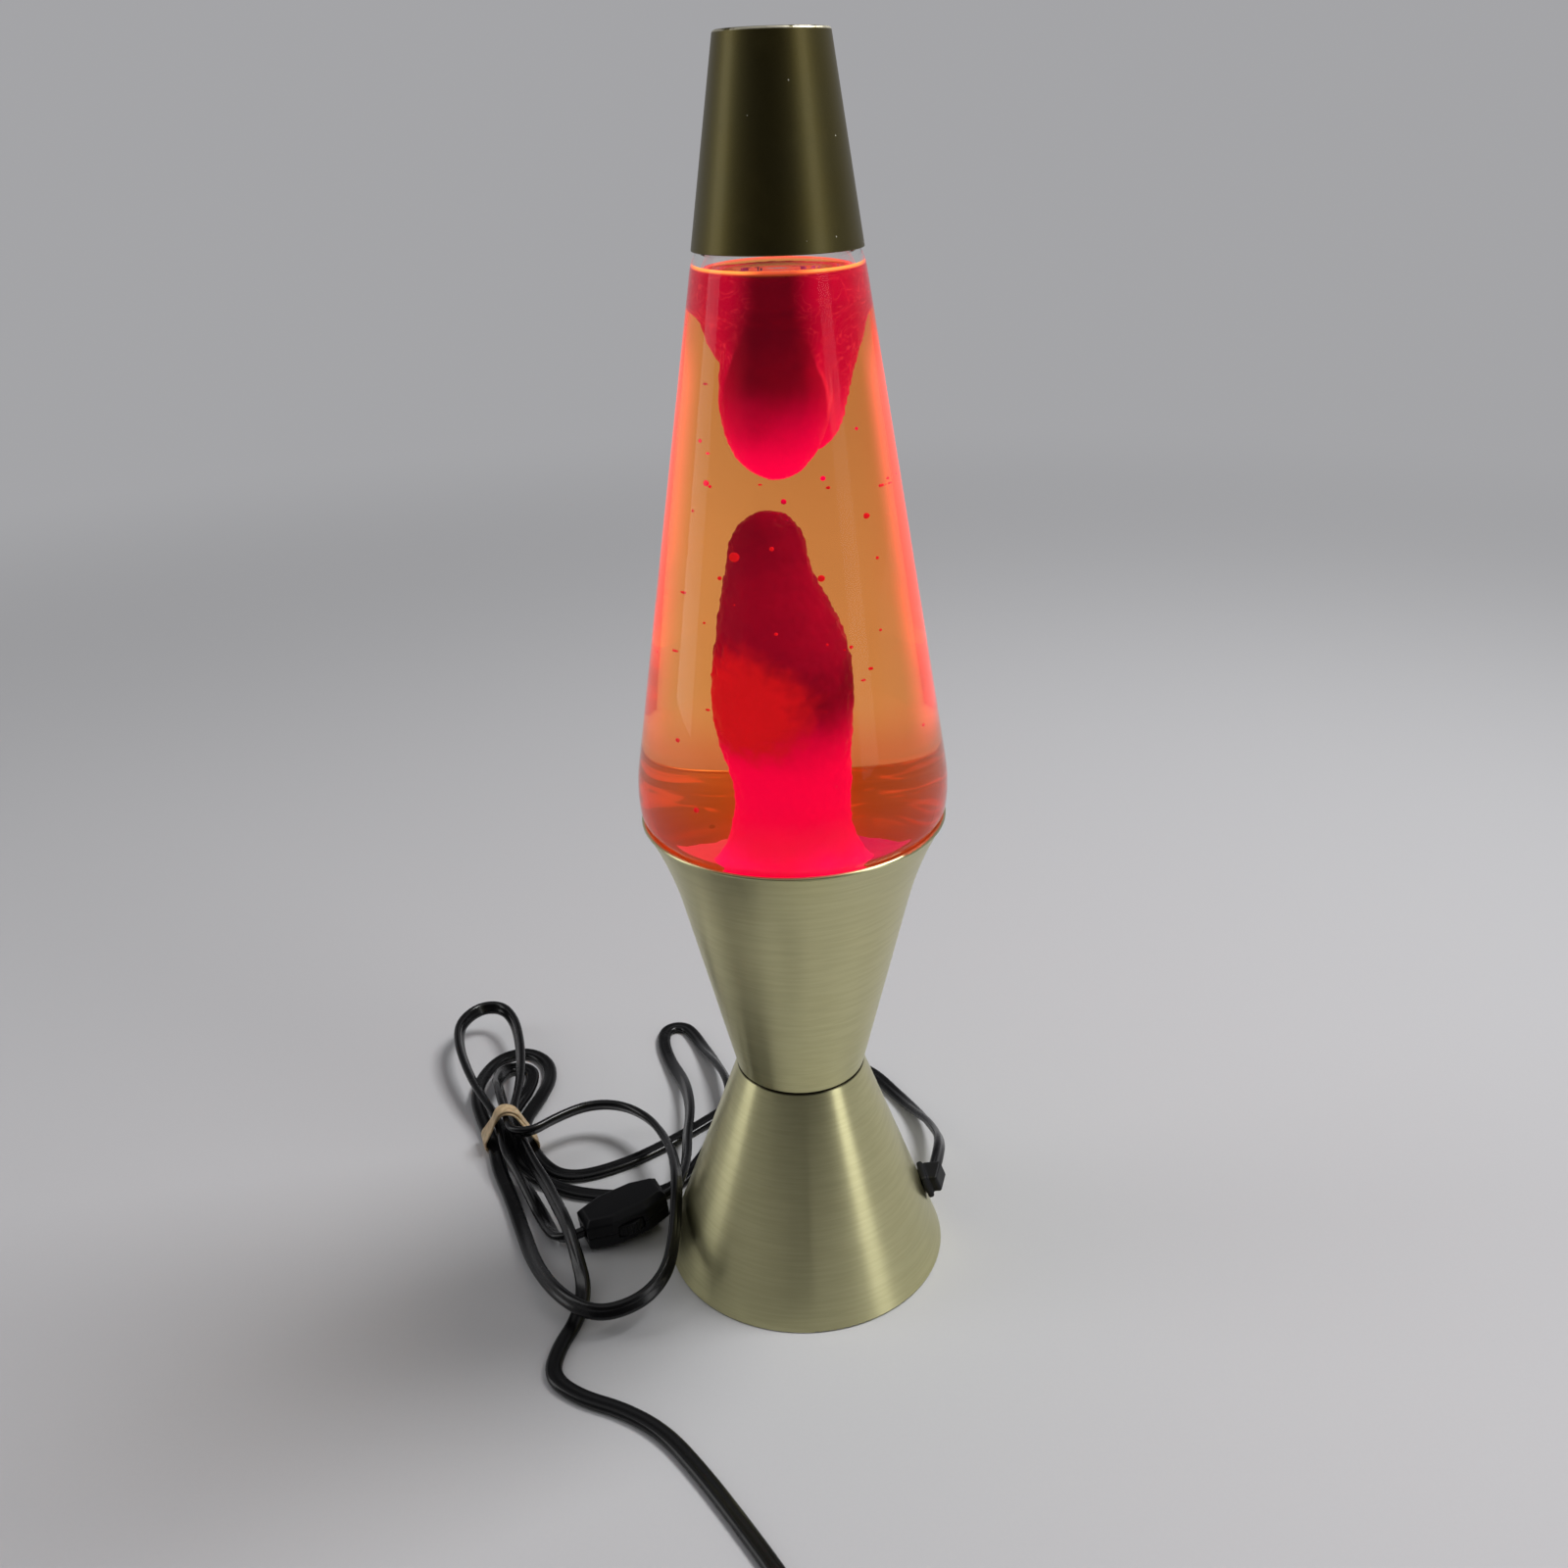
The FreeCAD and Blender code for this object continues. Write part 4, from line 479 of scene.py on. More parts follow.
def build_brushed_grain():
    """Rings round the lamp's axis: fine ones and broad ones."""
    group, start, end = new_group(
        "brushed_grain", {"Rings": 2600, "Streaks": 2.5}, {"Fine": FLOAT, "Broad": FLOAT})
    place = object_place(group)
    flat = stretched(group, place, (1, 1, 0))
    way = put(group, "VectorMath", {0: flat}, operation="NORMALIZE").outputs[0]
    circle = put(group, "VectorMath", {0: way, "Scale": start.outputs["Streaks"]}, operation="SCALE")
    height = axis_of(group, place, "Z")
    along = math_node(group, "MULTIPLY_ADD", length_of(group, flat), profile_slope, height)
    rings = product(group, along, start.outputs["Rings"])
    lift = put(group, "CombineXYZ", {"Z": rings}).outputs[0]
    spot = put(group, "VectorMath", {0: circle.outputs[0], 1: lift}, operation="ADD").outputs[0]
    broad_spot = stretched(group, spot, broad_stretch)
    group.links.new(noise(group, spot, 1, detail=3), end.inputs["Fine"])
    group.links.new(noise(group, broad_spot, 1), end.inputs["Broad"])
    return group


brushed_grain = build_brushed_grain()

# %% [markdown]
# ### Marks, dust and moulded grain
# Hands leave soft, cloudy smudges that change the gloss more than the colour. Dust is a few
# small specks: a cell pattern gives each its place, and a random value per cell keeps only
# some of them. Moulded plastic has a very fine, pebbled skin.

# %% Groups for marks, dust and grain
smudged_above = 0.7     # noise over this value is a smudge, and each unit of amount lowers it
amount_lowers = -0.3
smudge_softness = 0.16
pebble_depth = 0.05 * MM


def build_handling_marks():
    """Cloudy smudges, from 0 where the surface is clean to 1."""
    group, start, end = new_group("handling_marks", {"Size": 0.02, "Amount": 0.5}, {"Mask": FLOAT})
    scale = math_node(group, "DIVIDE", 1.0, start.outputs["Size"])
    cloud = noise(group, object_place(group), scale, detail=4, roughness=0.6)
    edge = math_node(group, "MULTIPLY_ADD", start.outputs["Amount"], amount_lowers, smudged_above)
    over = math_node(group, "SUBTRACT", cloud, edge)
    group.links.new(between(group, over, 0, smudge_softness), end.inputs["Mask"])
    return group


# The same specks serve as dust, as nicks in the lacquer, and as painted glints on the wax.
def build_dust_and_glint_specks():
    """Small specks, from 0 beside them to 1."""
    group, start, end = new_group(
        "dust_and_glint_specks", {"Spacing": 0.004, "Kept": 0.2, "Size": 0.05}, {"Mask": FLOAT})
    scale = math_node(group, "DIVIDE", 1.0, start.outputs["Spacing"])
    cells = put(group, "TexVoronoi", {"Vector": object_place(group), "Scale": scale})
    chance = put(group, "SeparateColor", {0: cells.outputs["Color"]}).outputs[0]
    kept = math_node(group, "LESS_THAN", chance, start.outputs["Kept"])
    near = math_node(group, "LESS_THAN", cells.outputs["Distance"], start.outputs["Size"])
    group.links.new(product(group, kept, near), end.inputs["Mask"])
    return group


def build_moulded_grain():
    """The pebbled skin of moulded plastic or rubber, as a normal and as a mask."""
    group, start, end = new_group(
        "moulded_grain", {"Size": 0.0004, "Depth": 0.2}, {"Normal": VECTOR, "Mask": FLOAT})
    scale = math_node(group, "DIVIDE", 1.0, start.outputs["Size"])
    pebbles = noise(group, object_place(group), scale, detail=3)
    group.links.new(bumped(group, pebbles, start.outputs["Depth"], pebble_depth), end.inputs["Normal"])
    group.links.new(pebbles, end.inputs["Mask"])
    return group


handling_marks = build_handling_marks()
dust_and_glint_specks = build_dust_and_glint_specks()
moulded_grain = build_moulded_grain()
groups = (brushed_grain, handling_marks, dust_and_glint_specks, moulded_grain)
print("node groups", [group.name for group in groups])

# %% [markdown]
# ## The base's metal
# Both cones are spun aluminium with a pale gold lacquer. The rings of the brushing spread a
# highlight across them, so each light draws a long streak down the cone. An anisotropic
# shader does the same when its tangent runs round the axis and is turned by a quarter. A thin
# dark line marks the seam where the two cones meet, and a few nicks show through the lacquer.

# %% Brushed, gold lacquered aluminium
waist_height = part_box("upper_cone")[0][2]
seam_fade = (0.75 * MM, 0.25 * MM)
seam_dark = (0.035, 0.03, 0.018)
gold_darker = (0.59, 0.56, 0.31)
gold_lighter = (0.63, 0.60, 0.34)
nick_brown = (0.30, 0.27, 0.16)


def make_base_metal():
    """Brushed metal with a few smudges that dull it."""
    material, tree = new_material("base_metal")
    grain = use_group(tree, brushed_grain)
    fine, broad = grain.outputs["Fine"], grain.outputs["Broad"]
    smudge = mask_of(tree, handling_marks, size=0.03, amount=0.35)
    nick = mask_of(tree, dust_and_glint_specks, spacing=0.014, kept=0.18, size=0.035)
    gold = mixed(tree, between(tree, broad, 0.35, 0.65), gold_darker, gold_lighter)
    shade = between(tree, fine, 0.2, 0.8, 0.94, 1.0)
    grey = put(tree, "CombineColor", {0: shade, 1: shade, 2: shade}).outputs[0]
    gold = mixed(tree, 1.0, gold, grey, "MULTIPLY")
    height = axis_of(tree, object_place(tree), "Z")
    off_seam = math_node(tree, "ABSOLUTE", math_node(tree, "SUBTRACT", height, waist_height))
    colour = layered(tree, gold, [(nick, nick_brown), (between(tree, off_seam, *seam_fade), seam_dark)])
    rough = math_node(tree, "MULTIPLY_ADD", smudge, 0.06, between(tree, fine, 0.2, 0.8, 0.28, 0.32))
    shader = put(tree, "BsdfPrincipled", {
        "Base Color": colour, "Metallic": 1.0, "Roughness": rough,
        "Normal": bumped(tree, fine, 0.06, 0.01 * MM),
        "Anisotropic": 0.75, "Anisotropic Rotation": 0.25,
        "Tangent": put(tree, "Tangent", direction_type="RADIAL", axis="Z").outputs[0]})
    surface(tree, shader.outputs[0])
    return material


# %% [markdown]
# ## The cap's paint
# The cap is sprayed with a metallic paint in champagne to olive gold. It is smoother than the
# base, mirrors the dark room in front of it, and holds a little dust on its side. A painted
# highlight runs round its top edge: a noise pattern breaks up a bright ring that is found by
# its height and by the slope of the surface.

# %% Metallic paint
cap_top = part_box("top_cap")[1][2]
# the painted highlight round the cap's top edge lies between these two heights
rim_highlight_from = cap_top - 0.75 * MM
rim_highlight_to = cap_top - 0.35 * MM
paint_darker = (0.083, 0.067, 0.020)
paint_lighter = (0.132, 0.108, 0.036)
paint_cloud = (0.10, 0.095, 0.048)
dust_pale = (0.75, 0.72, 0.6)
# the colour of the painted highlight on the top edge
rim_highlight = (0.66, 0.62, 0.48)


def make_cap_paint():
    """Satin metallic paint under a thin clear coat."""
    material, tree = new_material("cap_paint")
    place = object_place(tree)
    flakes = noise(tree, place, 6000, detail=1)
    cloud = noise(tree, place, 45, detail=3)
    dust = mask_of(tree, dust_and_glint_specks, spacing=0.0035, kept=0.22, size=0.05)
    smudge = mask_of(tree, handling_marks, size=0.015, amount=0.5)
    slope = axis_of(tree, put(tree, "NewGeometry").outputs["Normal"], "Z")
    # painted highlight: a bright ring on the top edge's rounding, broken up by noise
    rim_highlight_share = product(
        tree, between(tree, axis_of(tree, place, "Z"), rim_highlight_from, rim_highlight_to),
        between(tree, slope, 0.97, 0.8), between(tree, noise(tree, place, 260, detail=3), 0.36, 0.52))
    colour = layered(tree, mixed(tree, flakes, paint_darker, paint_lighter), [
        (between(tree, cloud, 0.4, 0.7, 0, 0.25), paint_cloud), (dust, dust_pale), (rim_highlight_share, rim_highlight)])
    rough = math_node(tree, "MULTIPLY_ADD", smudge, 0.06, 0.41)
    rough = math_node(tree, "MULTIPLY_ADD", dust, 0.3, rough)
    shader = put(tree, "BsdfPrincipled", {
        "Base Color": colour, "Metallic": 0.92, "Roughness": rough,
        "Normal": bumped(tree, flakes, 0.15, 0.01 * MM),
        "Coat Weight": 0.06, "Coat Roughness": 0.15})
    surface(tree, shader.outputs[0])
    return material


# %% [markdown]
# ## Glass
# So a see-through shader takes the glass shader's place for shadow rays alone, and the lamps
# shine through the bottle as they do on the table. The bottle's many layers would also stack
# up their mirror images into whitish streaks that the photograph hardly shows, so the
# specular tint is kept dim.

# %% Clear glass
dim_mirror = (0.1, 0.1, 0.1, 1)
light_through_glass = (0.92, 0.92, 0.9)


def see_through_to_lamps(tree, shader, tint):
    """The shader, but tinted clear where a lamp's light passes."""
    clear = put(tree, "BsdfTransparent", {"Color": (*tint, 1)})
    is_shadow = put(tree, "LightPath").outputs["Is Shadow Ray"]
    return put(tree, "MixShader", {0: is_shadow, 1: shader, 2: clear.outputs[0]}).outputs[0]


def make_clear_glass(name, tint, roughness):
    """Clear glass with faint waves and finger marks."""
    material, tree = new_material(name)
    smudge = mask_of(tree, handling_marks, size=0.02, amount=0.35)
    waves = noise(tree, object_place(tree), 60, detail=1)
    shader = put(tree, "BsdfPrincipled", {
        "Base Color": (*tint, 1), "Roughness": math_node(tree, "MULTIPLY_ADD", smudge, 0.02, roughness),
        "IOR": 1.5, "Specular Tint": dim_mirror, "Transmission Weight": 1.0,
        "Normal": bumped(tree, waves, 0.06, 0.3 * MM)})
    surface(tree, see_through_to_lamps(tree, shader.outputs[0], light_through_glass))
    return material


# %% [markdown]
# ## The amber liquid
# The liquid is clear amber and lit from below by the bulb, so it is brighter than the wall
# behind it. That light is painted as a glow on the far side of the liquid, which keeps the wax
# in front of it dark and rich. The wax's red light is painted as a glow too, up the bottle's
# edges and round the thin raised rim at the top, where the liquid climbs the glass. Low down,
# the far side has a few painted glowing streaks.

# %% Colours and heights of the amber liquid, in metres
liquid_top = 313.4 * MM
brim_from = liquid_top + 0.6 * MM
brim_to = liquid_top + 1.1 * MM
amber_body = (0.90, 0.42, 0.12)
amber_deep = (0.86, 0.15, 0.065)
deep_below = (0.184, 0.166)
# heights of the painted red glow on the bottle's edges, and of the painted glowing streaks low on the far
# side
edge_heights = ((0.185, 0.200), (0.300, 0.285))
glow_streak_heights = ((0.146, 0.152), (0.166, 0.160))
# painted glow: the bulb's light in the liquid, and the wax's red light at its edges and rim
amber_glow = {
    "left": (0.18, 0.054, 0.010),
    "right": (0.24, 0.052, 0.007),
    "cloud": (0.24, 0.075, 0.012),
    "near_side": (0.006, 0.001, 0.001),
    "edge": (0.95, 0.075, 0.085),
    "brim": (0.98, 0.27, 0.06),
    "brim_middle": (0.22, 0.02, 0.02),
    "brim_behind": (0.42, 0.008, 0.04),
    "glow_streaks": (0.75, 0.10, 0.03),
}
dim_liquid_mirror = (0.3, 0.3, 0.3, 1)
light_through_liquid = (0.66, 0.62, 0.58)


# %% Amber liquid
def make_liquid():
    """Amber liquid with a little painted glow."""
    material, tree = new_material("liquid_amber")
    place = object_place(tree)
    x, y, z = put(tree, "SeparateXYZ", {0: place}).outputs
    cloud = noise(tree, place, 40, detail=2)
    far_side = put(tree, "NewGeometry").outputs["Backfacing"]
    glow = layered(tree, amber_glow["left"], [
        (between(tree, x, -0.02, 0.04), amber_glow["right"]),
        (between(tree, cloud, 0.35, 0.7, 0, 0.25), amber_glow["cloud"])])
    glow = mixed(tree, far_side, amber_glow["near_side"], glow)
    grazing = put(tree, "LayerWeight", {"Blend": 0.5}).outputs["Facing"]
    edge = product(
        tree, zone(tree, z, *edge_heights), between(tree, x, -0.03, 0.03, 0.45, 1.0),
        between(tree, grazing, 0.17, 0.30))
    middle = between(tree, math_node(tree, "ABSOLUTE", x), 0.010, 0.003, 0.0, 0.85)
    brim_tint = mixed(tree, middle, amber_glow["brim"], amber_glow["brim_middle"])
    brim_tint = mixed(tree, between(tree, y, -0.008, 0.004), brim_tint, amber_glow["brim_behind"])
    # painted glowing streaks low on the far side
    glow_streaks = noise(tree, stretched(tree, place, (1, 1, 3.5)), 120, detail=4, distortion=0.8)
    glow_streaks = product(
        tree, between(tree, glow_streaks, 0.52, 0.66), zone(tree, z, *glow_streak_heights), far_side, 0.55)
    glow = layered(tree, glow, [
        (edge, amber_glow["edge"]),
        (between(tree, z, brim_from, brim_to), brim_tint),
        (glow_streaks, amber_glow["glow_streaks"])])
    shader = put(tree, "BsdfPrincipled", {
        "Base Color": mixed(tree, between(tree, z, *deep_below), amber_body, amber_deep),
        "Roughness": 0.0, "IOR": 1.37, "Transmission Weight": 1.0, "Specular Tint": dim_liquid_mirror,
        "Emission Color": glow, "Emission Strength": 1.0, "Normal": bumped(tree, cloud, 0.05, 0.3 * MM)})
    surface(tree, see_through_to_lamps(tree, shader.outputs[0], light_through_liquid))
    return material


# %% [markdown]
# ## The wax
# The wax is crimson. The bulb shines into it from below, so its foot is a bright pinkish red,
# its middle is deep maroon, and the underside of the hanging drop is lit again. That light is
# painted as a glow, and height on the piece says how strong it is. Soft light inside the wax
# is left to subsurface scattering, which goes far for red and hardly at all for green and blue.

# %% Colours and heights of the wax's light, in metres
wax_darker = (0.13, 0.0005, 0.022)
wax_lighter = (0.19, 0.001, 0.032)
# painted glow of the bulb's light in the wax, part by part
wax_glow = {
    "inside": (0.035, 0.0, 0.012),
    "column": (0.14, 0.001, 0.026),
    "lit": (0.88, 0.0, 0.115),
    "foot": (1.20, 0.0, 0.36),
    "skirt_left": (0.66, 0.10, 0.15),
    "skirt_right": (0.48, 0.015, 0.18),
    "tip": (0.09, 0.001, 0.02),
    "flanks": (0.38, 0.0, 0.04),
    "funnel": (0.43, 0.0, 0.06),
    "ripples": (0.85, 0.06, 0.16),
    "underside": (1.02, 0.0, 0.16),
    "outline": (0.8, 0.03, 0.12),
    "glints": (0.85, 0.30, 0.45),
    "droplets": (0.50, 0.008, 0.02),
}
foot_below = (0.160, 0.150)
lit_below = (0.204, 0.178)
column_heights = ((0.202, 0.214), (0.262, 0.258))
tip_heights = ((0.236, 0.248), (0.262, 0.258))
underside_heights = ((0.256, 0.260), (0.290, 0.262))
droplet_heights = ((0.166, 0.170), (0.264, 0.256))
skirt_reach = (0.0155, 0.0185)
droplet_reach = (0.0150, 0.0165)
left_to_right = (-0.006, 0.010)

# %% [markdown]
# ### The hanging wax
# The upper wax is a drop in front of a wider, thinner funnel. The light that comes through the
# funnel is painted as a glow that makes it paler than the drop, with a painted bright outline
# where the two meet. The shader tells them apart by the distance from the drop's middle as a
# share of its half width, which narrows with height.

# %% Shares of the hanging wax's parts
drop_middle = -1.5 * MM
drop_narrows = (0.282, 0.308)
drop_half_width = (12.2 * MM, 6.0 * MM)
drop_hangs_above = (0.262, 0.268)
edge_softens = (0.292, 0.304)
outline_fades = (0.296, 0.288)
flanks_fade = (0.304, 0.284)


def hanging_wax(tree, place, height, across):
    """The shares of the funnel, of its ripples, of the drop's outline and of its flanks."""
    half_width = between(tree, height, *drop_narrows, *drop_half_width)
    off_middle = math_node(tree, "ABSOLUTE", math_node(tree, "SUBTRACT", across, drop_middle))
    aside = math_node(tree, "DIVIDE", off_middle, half_width)
    hangs = between(tree, height, *drop_hangs_above)
    soft_from = between(tree, height, *edge_softens, 0.90, 0.55)
    soft_to = between(tree, height, *edge_softens, 0.96, 1.9)
    funnel = product(tree, between(tree, aside, soft_from, soft_to), hangs)
    swirls = noise(tree, place, 210, detail=1, distortion=1.6)
    off_half = math_node(tree, "ABSOLUTE", math_node(tree, "SUBTRACT", swirls, 0.5))
    ripples = product(tree, between(tree, off_half, 0.03, 0.0), funnel)
    outline = product(
        tree, zone(tree, aside, (0.90, 0.95), (1.02, 0.97)), hangs, between(tree, height, *outline_fades))
    flanks = product(tree, between(tree, aside, 0.45, 1.0), between(tree, height, *flanks_fade), hangs)
    return funnel, ripples, outline, flanks


# %% Crimson wax
def make_wax():
    """Molten crimson wax with a painted glow of the bulb's light from below."""
    material, tree = new_material("wax_red")
    place = object_place(tree)
    across = axis_of(tree, place, "X")
    reach = length_of(tree, stretched(tree, place, (1, 1, 0)))
    uneven = noise(tree, place, 70, detail=3)
    waver = math_node(tree, "SUBTRACT", uneven, 0.5)
    height = math_node(tree, "MULTIPLY_ADD", waver, 12 * MM, axis_of(tree, place, "Z"))
    funnel, ripples, outline, flanks = hanging_wax(tree, place, height, across)
    # painted glints: tiny highlights on the wax
    glints = mask_of(tree, dust_and_glint_specks, spacing=0.0032, kept=0.16, size=0.035)
    foot = between(tree, height, *foot_below)
    right = between(tree, across, *left_to_right)
    skirt = product(tree, between(tree, reach, *skirt_reach), foot)
    skirt_glow = mixed(tree, right, wax_glow["skirt_left"], wax_glow["skirt_right"])
    droplets = product(tree, between(tree, reach, *droplet_reach), zone(tree, height, *droplet_heights))
    # the painted glow, laid on layer by layer
    glow = layered(tree, wax_glow["inside"], [
        (zone(tree, height, *column_heights), wax_glow["column"]),
        (between(tree, height, *lit_below), wax_glow["lit"]),
        (foot, wax_glow["foot"]),
        (skirt, skirt_glow),
        (zone(tree, height, *tip_heights), wax_glow["tip"]),
        (product(tree, flanks, 0.7), wax_glow["flanks"]),
        (funnel, wax_glow["funnel"]),
        (product(tree, ripples, 0.45), wax_glow["ripples"]),
        (zone(tree, height, *underside_heights), wax_glow["underside"]),
        (product(tree, outline, right, 0.5), wax_glow["outline"]),
        (product(tree, glints, 0.7), wax_glow["glints"]),
        (droplets, wax_glow["droplets"])])
    shader = put(tree, "BsdfPrincipled", {
        "Base Color": mixed(tree, between(tree, uneven, 0.35, 0.65), wax_darker, wax_lighter),
        "Roughness": between(tree, uneven, 0.3, 0.7, 0.2, 0.34), "IOR": 1.05,
        "Normal": bumped(tree, noise(tree, place, 260, detail=2), 0.25, 0.3 * MM),
        "Subsurface Weight": 0.35, "Subsurface Scale": 1 * MM, "Subsurface Radius": (6.0, 0.6, 0.9),
        "Emission Color": glow, "Emission Strength": 1.0})
    surface(tree, shader.outputs[0])
    return material


# %% [markdown]
# ## Plastics and rubber
# The cord, the switch, the plug and the bushing are black, but they aren't alike: the cord's
# jacket is glossy, the switch is moulded with a fine grain, and the bushing is dull. They
# share one maker with different values.

# %% Moulded plastics
plastic_dust = (0.30, 0.29, 0.27)


def make_plastic(name, colour, roughness, grain_size, grain_depth, dusty, gloss=0.5):
    """Moulded plastic with its grain, its smudges and a little dust."""
    material, tree = new_material(name)
    grain = use_group(tree, moulded_grain, size=grain_size, depth=grain_depth)
    smudge = mask_of(tree, handling_marks, size=0.008, amount=0.5)
    dust = mask_of(tree, dust_and_glint_specks, spacing=0.003, kept=dusty, size=0.04)
    lighter = tuple(min(1, channel * 1.3 + 0.002) for channel in colour)
    shade = layered(tree, colour, [(grain.outputs["Mask"], lighter), (dust, plastic_dust)])
    rough = math_node(tree, "MULTIPLY_ADD", smudge, 0.10, roughness)
    rough = math_node(tree, "MULTIPLY_ADD", grain.outputs["Mask"], 0.06, rough)
    shader = put(tree, "BsdfPrincipled", {
        "Base Color": shade, "Roughness": rough, "Normal": grain.outputs["Normal"],
        "IOR": 1.5, "Specular IOR Level": gloss})
    surface(tree, shader.outputs[0])
    return material


# %% Rubber
rubber_darker = (0.40, 0.28, 0.15)
rubber_lighter = (0.60, 0.45, 0.27)


def make_rubber():
    """Natural rubber: beige, dull, streaked along the band."""
    material, tree = new_material("band_rubber")
    grain = use_group(tree, moulded_grain, size=0.0006, depth=0.5)
    streaks = noise(tree, object_place(tree), 420, detail=3)
    shader = put(tree, "BsdfPrincipled", {
        "Base Color": mixed(tree, between(tree, streaks, 0.3, 0.7), rubber_darker, rubber_lighter),
        "Roughness": between(tree, streaks, 0.3, 0.7, 0.45, 0.62), "Normal": grain.outputs["Normal"],
        "Subsurface Weight": 0.15, "Subsurface Scale": 0.5 * MM, "Subsurface Radius": (1.0, 0.5, 0.25)})
    surface(tree, shader.outputs[0])
    return material


# %% [markdown]
# ## Small metal parts
# Drawn brass, plated steel, tinned sheet and tungsten wire differ in colour and in how dull
# they have become. Tarnish gathers in clouds, and it is darker and rougher than clean metal.

# %% Plain metals
drawn_along_z = (1, 1, 9)


def make_metal(name, clean, tarnished, roughness, tarnish):
    """Bare metal with clouds of tarnish and fine drawing lines."""
    material, tree = new_material(name)
    cloud = mask_of(tree, handling_marks, size=0.006, amount=tarnish)
    lines = noise(tree, stretched(tree, object_place(tree), drawn_along_z), 700, detail=3)
    rough = math_node(tree, "MULTIPLY_ADD", cloud, 0.18, roughness)
    rough = math_node(tree, "MULTIPLY_ADD", lines, 0.08, rough)
    shader = put(tree, "BsdfPrincipled", {
        "Base Color": mixed(tree, cloud, clean, tarnished), "Metallic": 1.0, "Roughness": rough,
        "Normal": bumped(tree, lines, 0.15, 0.02 * MM)})
    surface(tree, shader.outputs[0])
    return material


# %% [markdown]
# ## One material for every slot
# Each CAD part names the slot of its material. The finishes that differ only in their values
# stand in three lists, one for each maker, and a loop goes through each list.

# %% A material for every slot
black = (0.0045, 0.0045, 0.0055)
materials = {
    "base_metal": make_base_metal(), "cap_paint": make_cap_paint(), "liquid_amber": make_liquid(),
    "wax_red": make_wax(), "band_rubber": make_rubber(),
}
glasses = {     # tint and roughness
    "bottle_glass": ((0.985, 0.985, 0.975), 0.0),
    "bulb_glass": ((0.99, 0.99, 0.98), 0.01),
    "bulb_inside": ((0.95, 0.95, 0.93), 0.03),
}
metals = {      # clean colour, tarnished colour, roughness and share of tarnish
    "coil_steel": ((0.56, 0.56, 0.55), (0.38, 0.36, 0.34), 0.22, 0.4),
    "crown_steel": ((0.62, 0.60, 0.53), (0.42, 0.38, 0.30), 0.26, 0.5),
    "screw_steel": ((0.60, 0.60, 0.58), (0.42, 0.41, 0.38), 0.24, 0.4),
    "brass": ((0.72, 0.52, 0.22), (0.42, 0.27, 0.11), 0.22, 0.5),
    "tungsten": ((0.36, 0.33, 0.30), (0.20, 0.18, 0.17), 0.35, 0.5),
}
plastics = {    # colour, roughness, size and depth of the grain, dust, and gloss where it is low
    "liner_plastic": ((0.70, 0.68, 0.62), 0.5, 0.0005, 0.2, 0.05),
    "cover_board": ((0.035, 0.034, 0.033), 0.75, 0.0007, 0.8, 0.4),
    "holder_plastic": ((0.018, 0.015, 0.013), 0.22, 0.0006, 0.15, 0.2),
    "bulb_cement": ((0.012, 0.011, 0.013), 0.16, 0.0009, 0.25, 0.05),
    "lead_insulation": ((0.016, 0.016, 0.017), 0.45, 0.0004, 0.2, 0.1),
    "bushing_plastic": ((0.006, 0.006, 0.007), 0.42, 0.0003, 0.35, 0.15, 0.25),
    "cord_black": ((0.003, 0.003, 0.0035), 0.20, 0.0009, 0.10, 0.06, 0.36),
    "switch_plastic": (black, 0.34, 0.0003, 0.35, 0.15, 0.2),
    "plug_plastic": (black, 0.36, 0.0004, 0.3, 0.1),
}
for maker, kinds in ((make_clear_glass, glasses), (make_metal, metals), (make_plastic, plastics)):
    for slot, values in kinds.items():
        materials[slot] = maker(slot, *values)


def dress(piece, slot):
    """Give a piece the one material of its slot."""
    if not piece.material_slots:
        piece.data.materials.append(None)
    for place in piece.material_slots:
        place.material = materials[slot]


for part in frame["record"]["subparts"]:
    dress(nodes[part["node"]], part["material_slot"])
dress(lamp_cord, "cord_black")
dress(plug_cord, "cord_black")
print("dressed", len(nodes), "parts with", len(materials), "materials")

# %% [markdown]
# ## Turning on a lathe
# The bottle and its liquid are round. Their outline is drawn once, corner by corner, from the
# axis and back to it: one point is added and extruded from corner to corner, and the line is
# then spun round the axis. Corners of glass are never sharp, so each has its radius, and the
# helper below puts the arcs in.

# %% Outlines and turning
arc_step = math.radians(4)


def rounded(outline):
    """The outline's points, with an arc at each corner that has a radius."""
    points = []
    for i, (r, z, radius) in enumerate(outline):
        corner = Vector((r, z))
        if not radius:
            points.append(corner)
            continue
        back = (Vector(outline[i - 1][:2]) - corner).normalized()
        on = (Vector(outline[i + 1][:2]) - corner).normalized()
        turn = math.pi - back.angle(on)
        centre = corner + (back + on).normalized() * (radius / math.cos(turn / 2))
        first = corner + back * (radius * math.tan(turn / 2)) - centre
        last = corner + on * (radius * math.tan(turn / 2)) - centre
        sweep = math.atan2(first.x * last.y - first.y * last.x, first.dot(last))
        steps = max(2, round(turn / arc_step))
        for k in range(steps + 1):
            angle = sweep * k / steps
            points.append(centre + Matrix.Rotation(angle, 2) @ first)
    return points


def deselected():
    """Nothing selected, and no object in edit mode."""
    if bpy.context.mode != "OBJECT":
        bpy.ops.object.mode_set(mode="OBJECT")
    bpy.ops.object.select_all(action="DESELECT")


def lone_point(name, place):
    """A new mesh of one point, in edit mode."""
    deselected()
    bpy.ops.mesh.primitive_plane_add(size=MM, location=(0, 0, 0))
    piece = bpy.context.object
    piece.name = name
    piece.data.name = name
    bpy.ops.object.mode_set(mode="EDIT")
    bpy.ops.mesh.select_all(action="SELECT")
    bpy.ops.mesh.merge(type="CENTER")
    bpy.ops.transform.translate(value=place)
    return piece


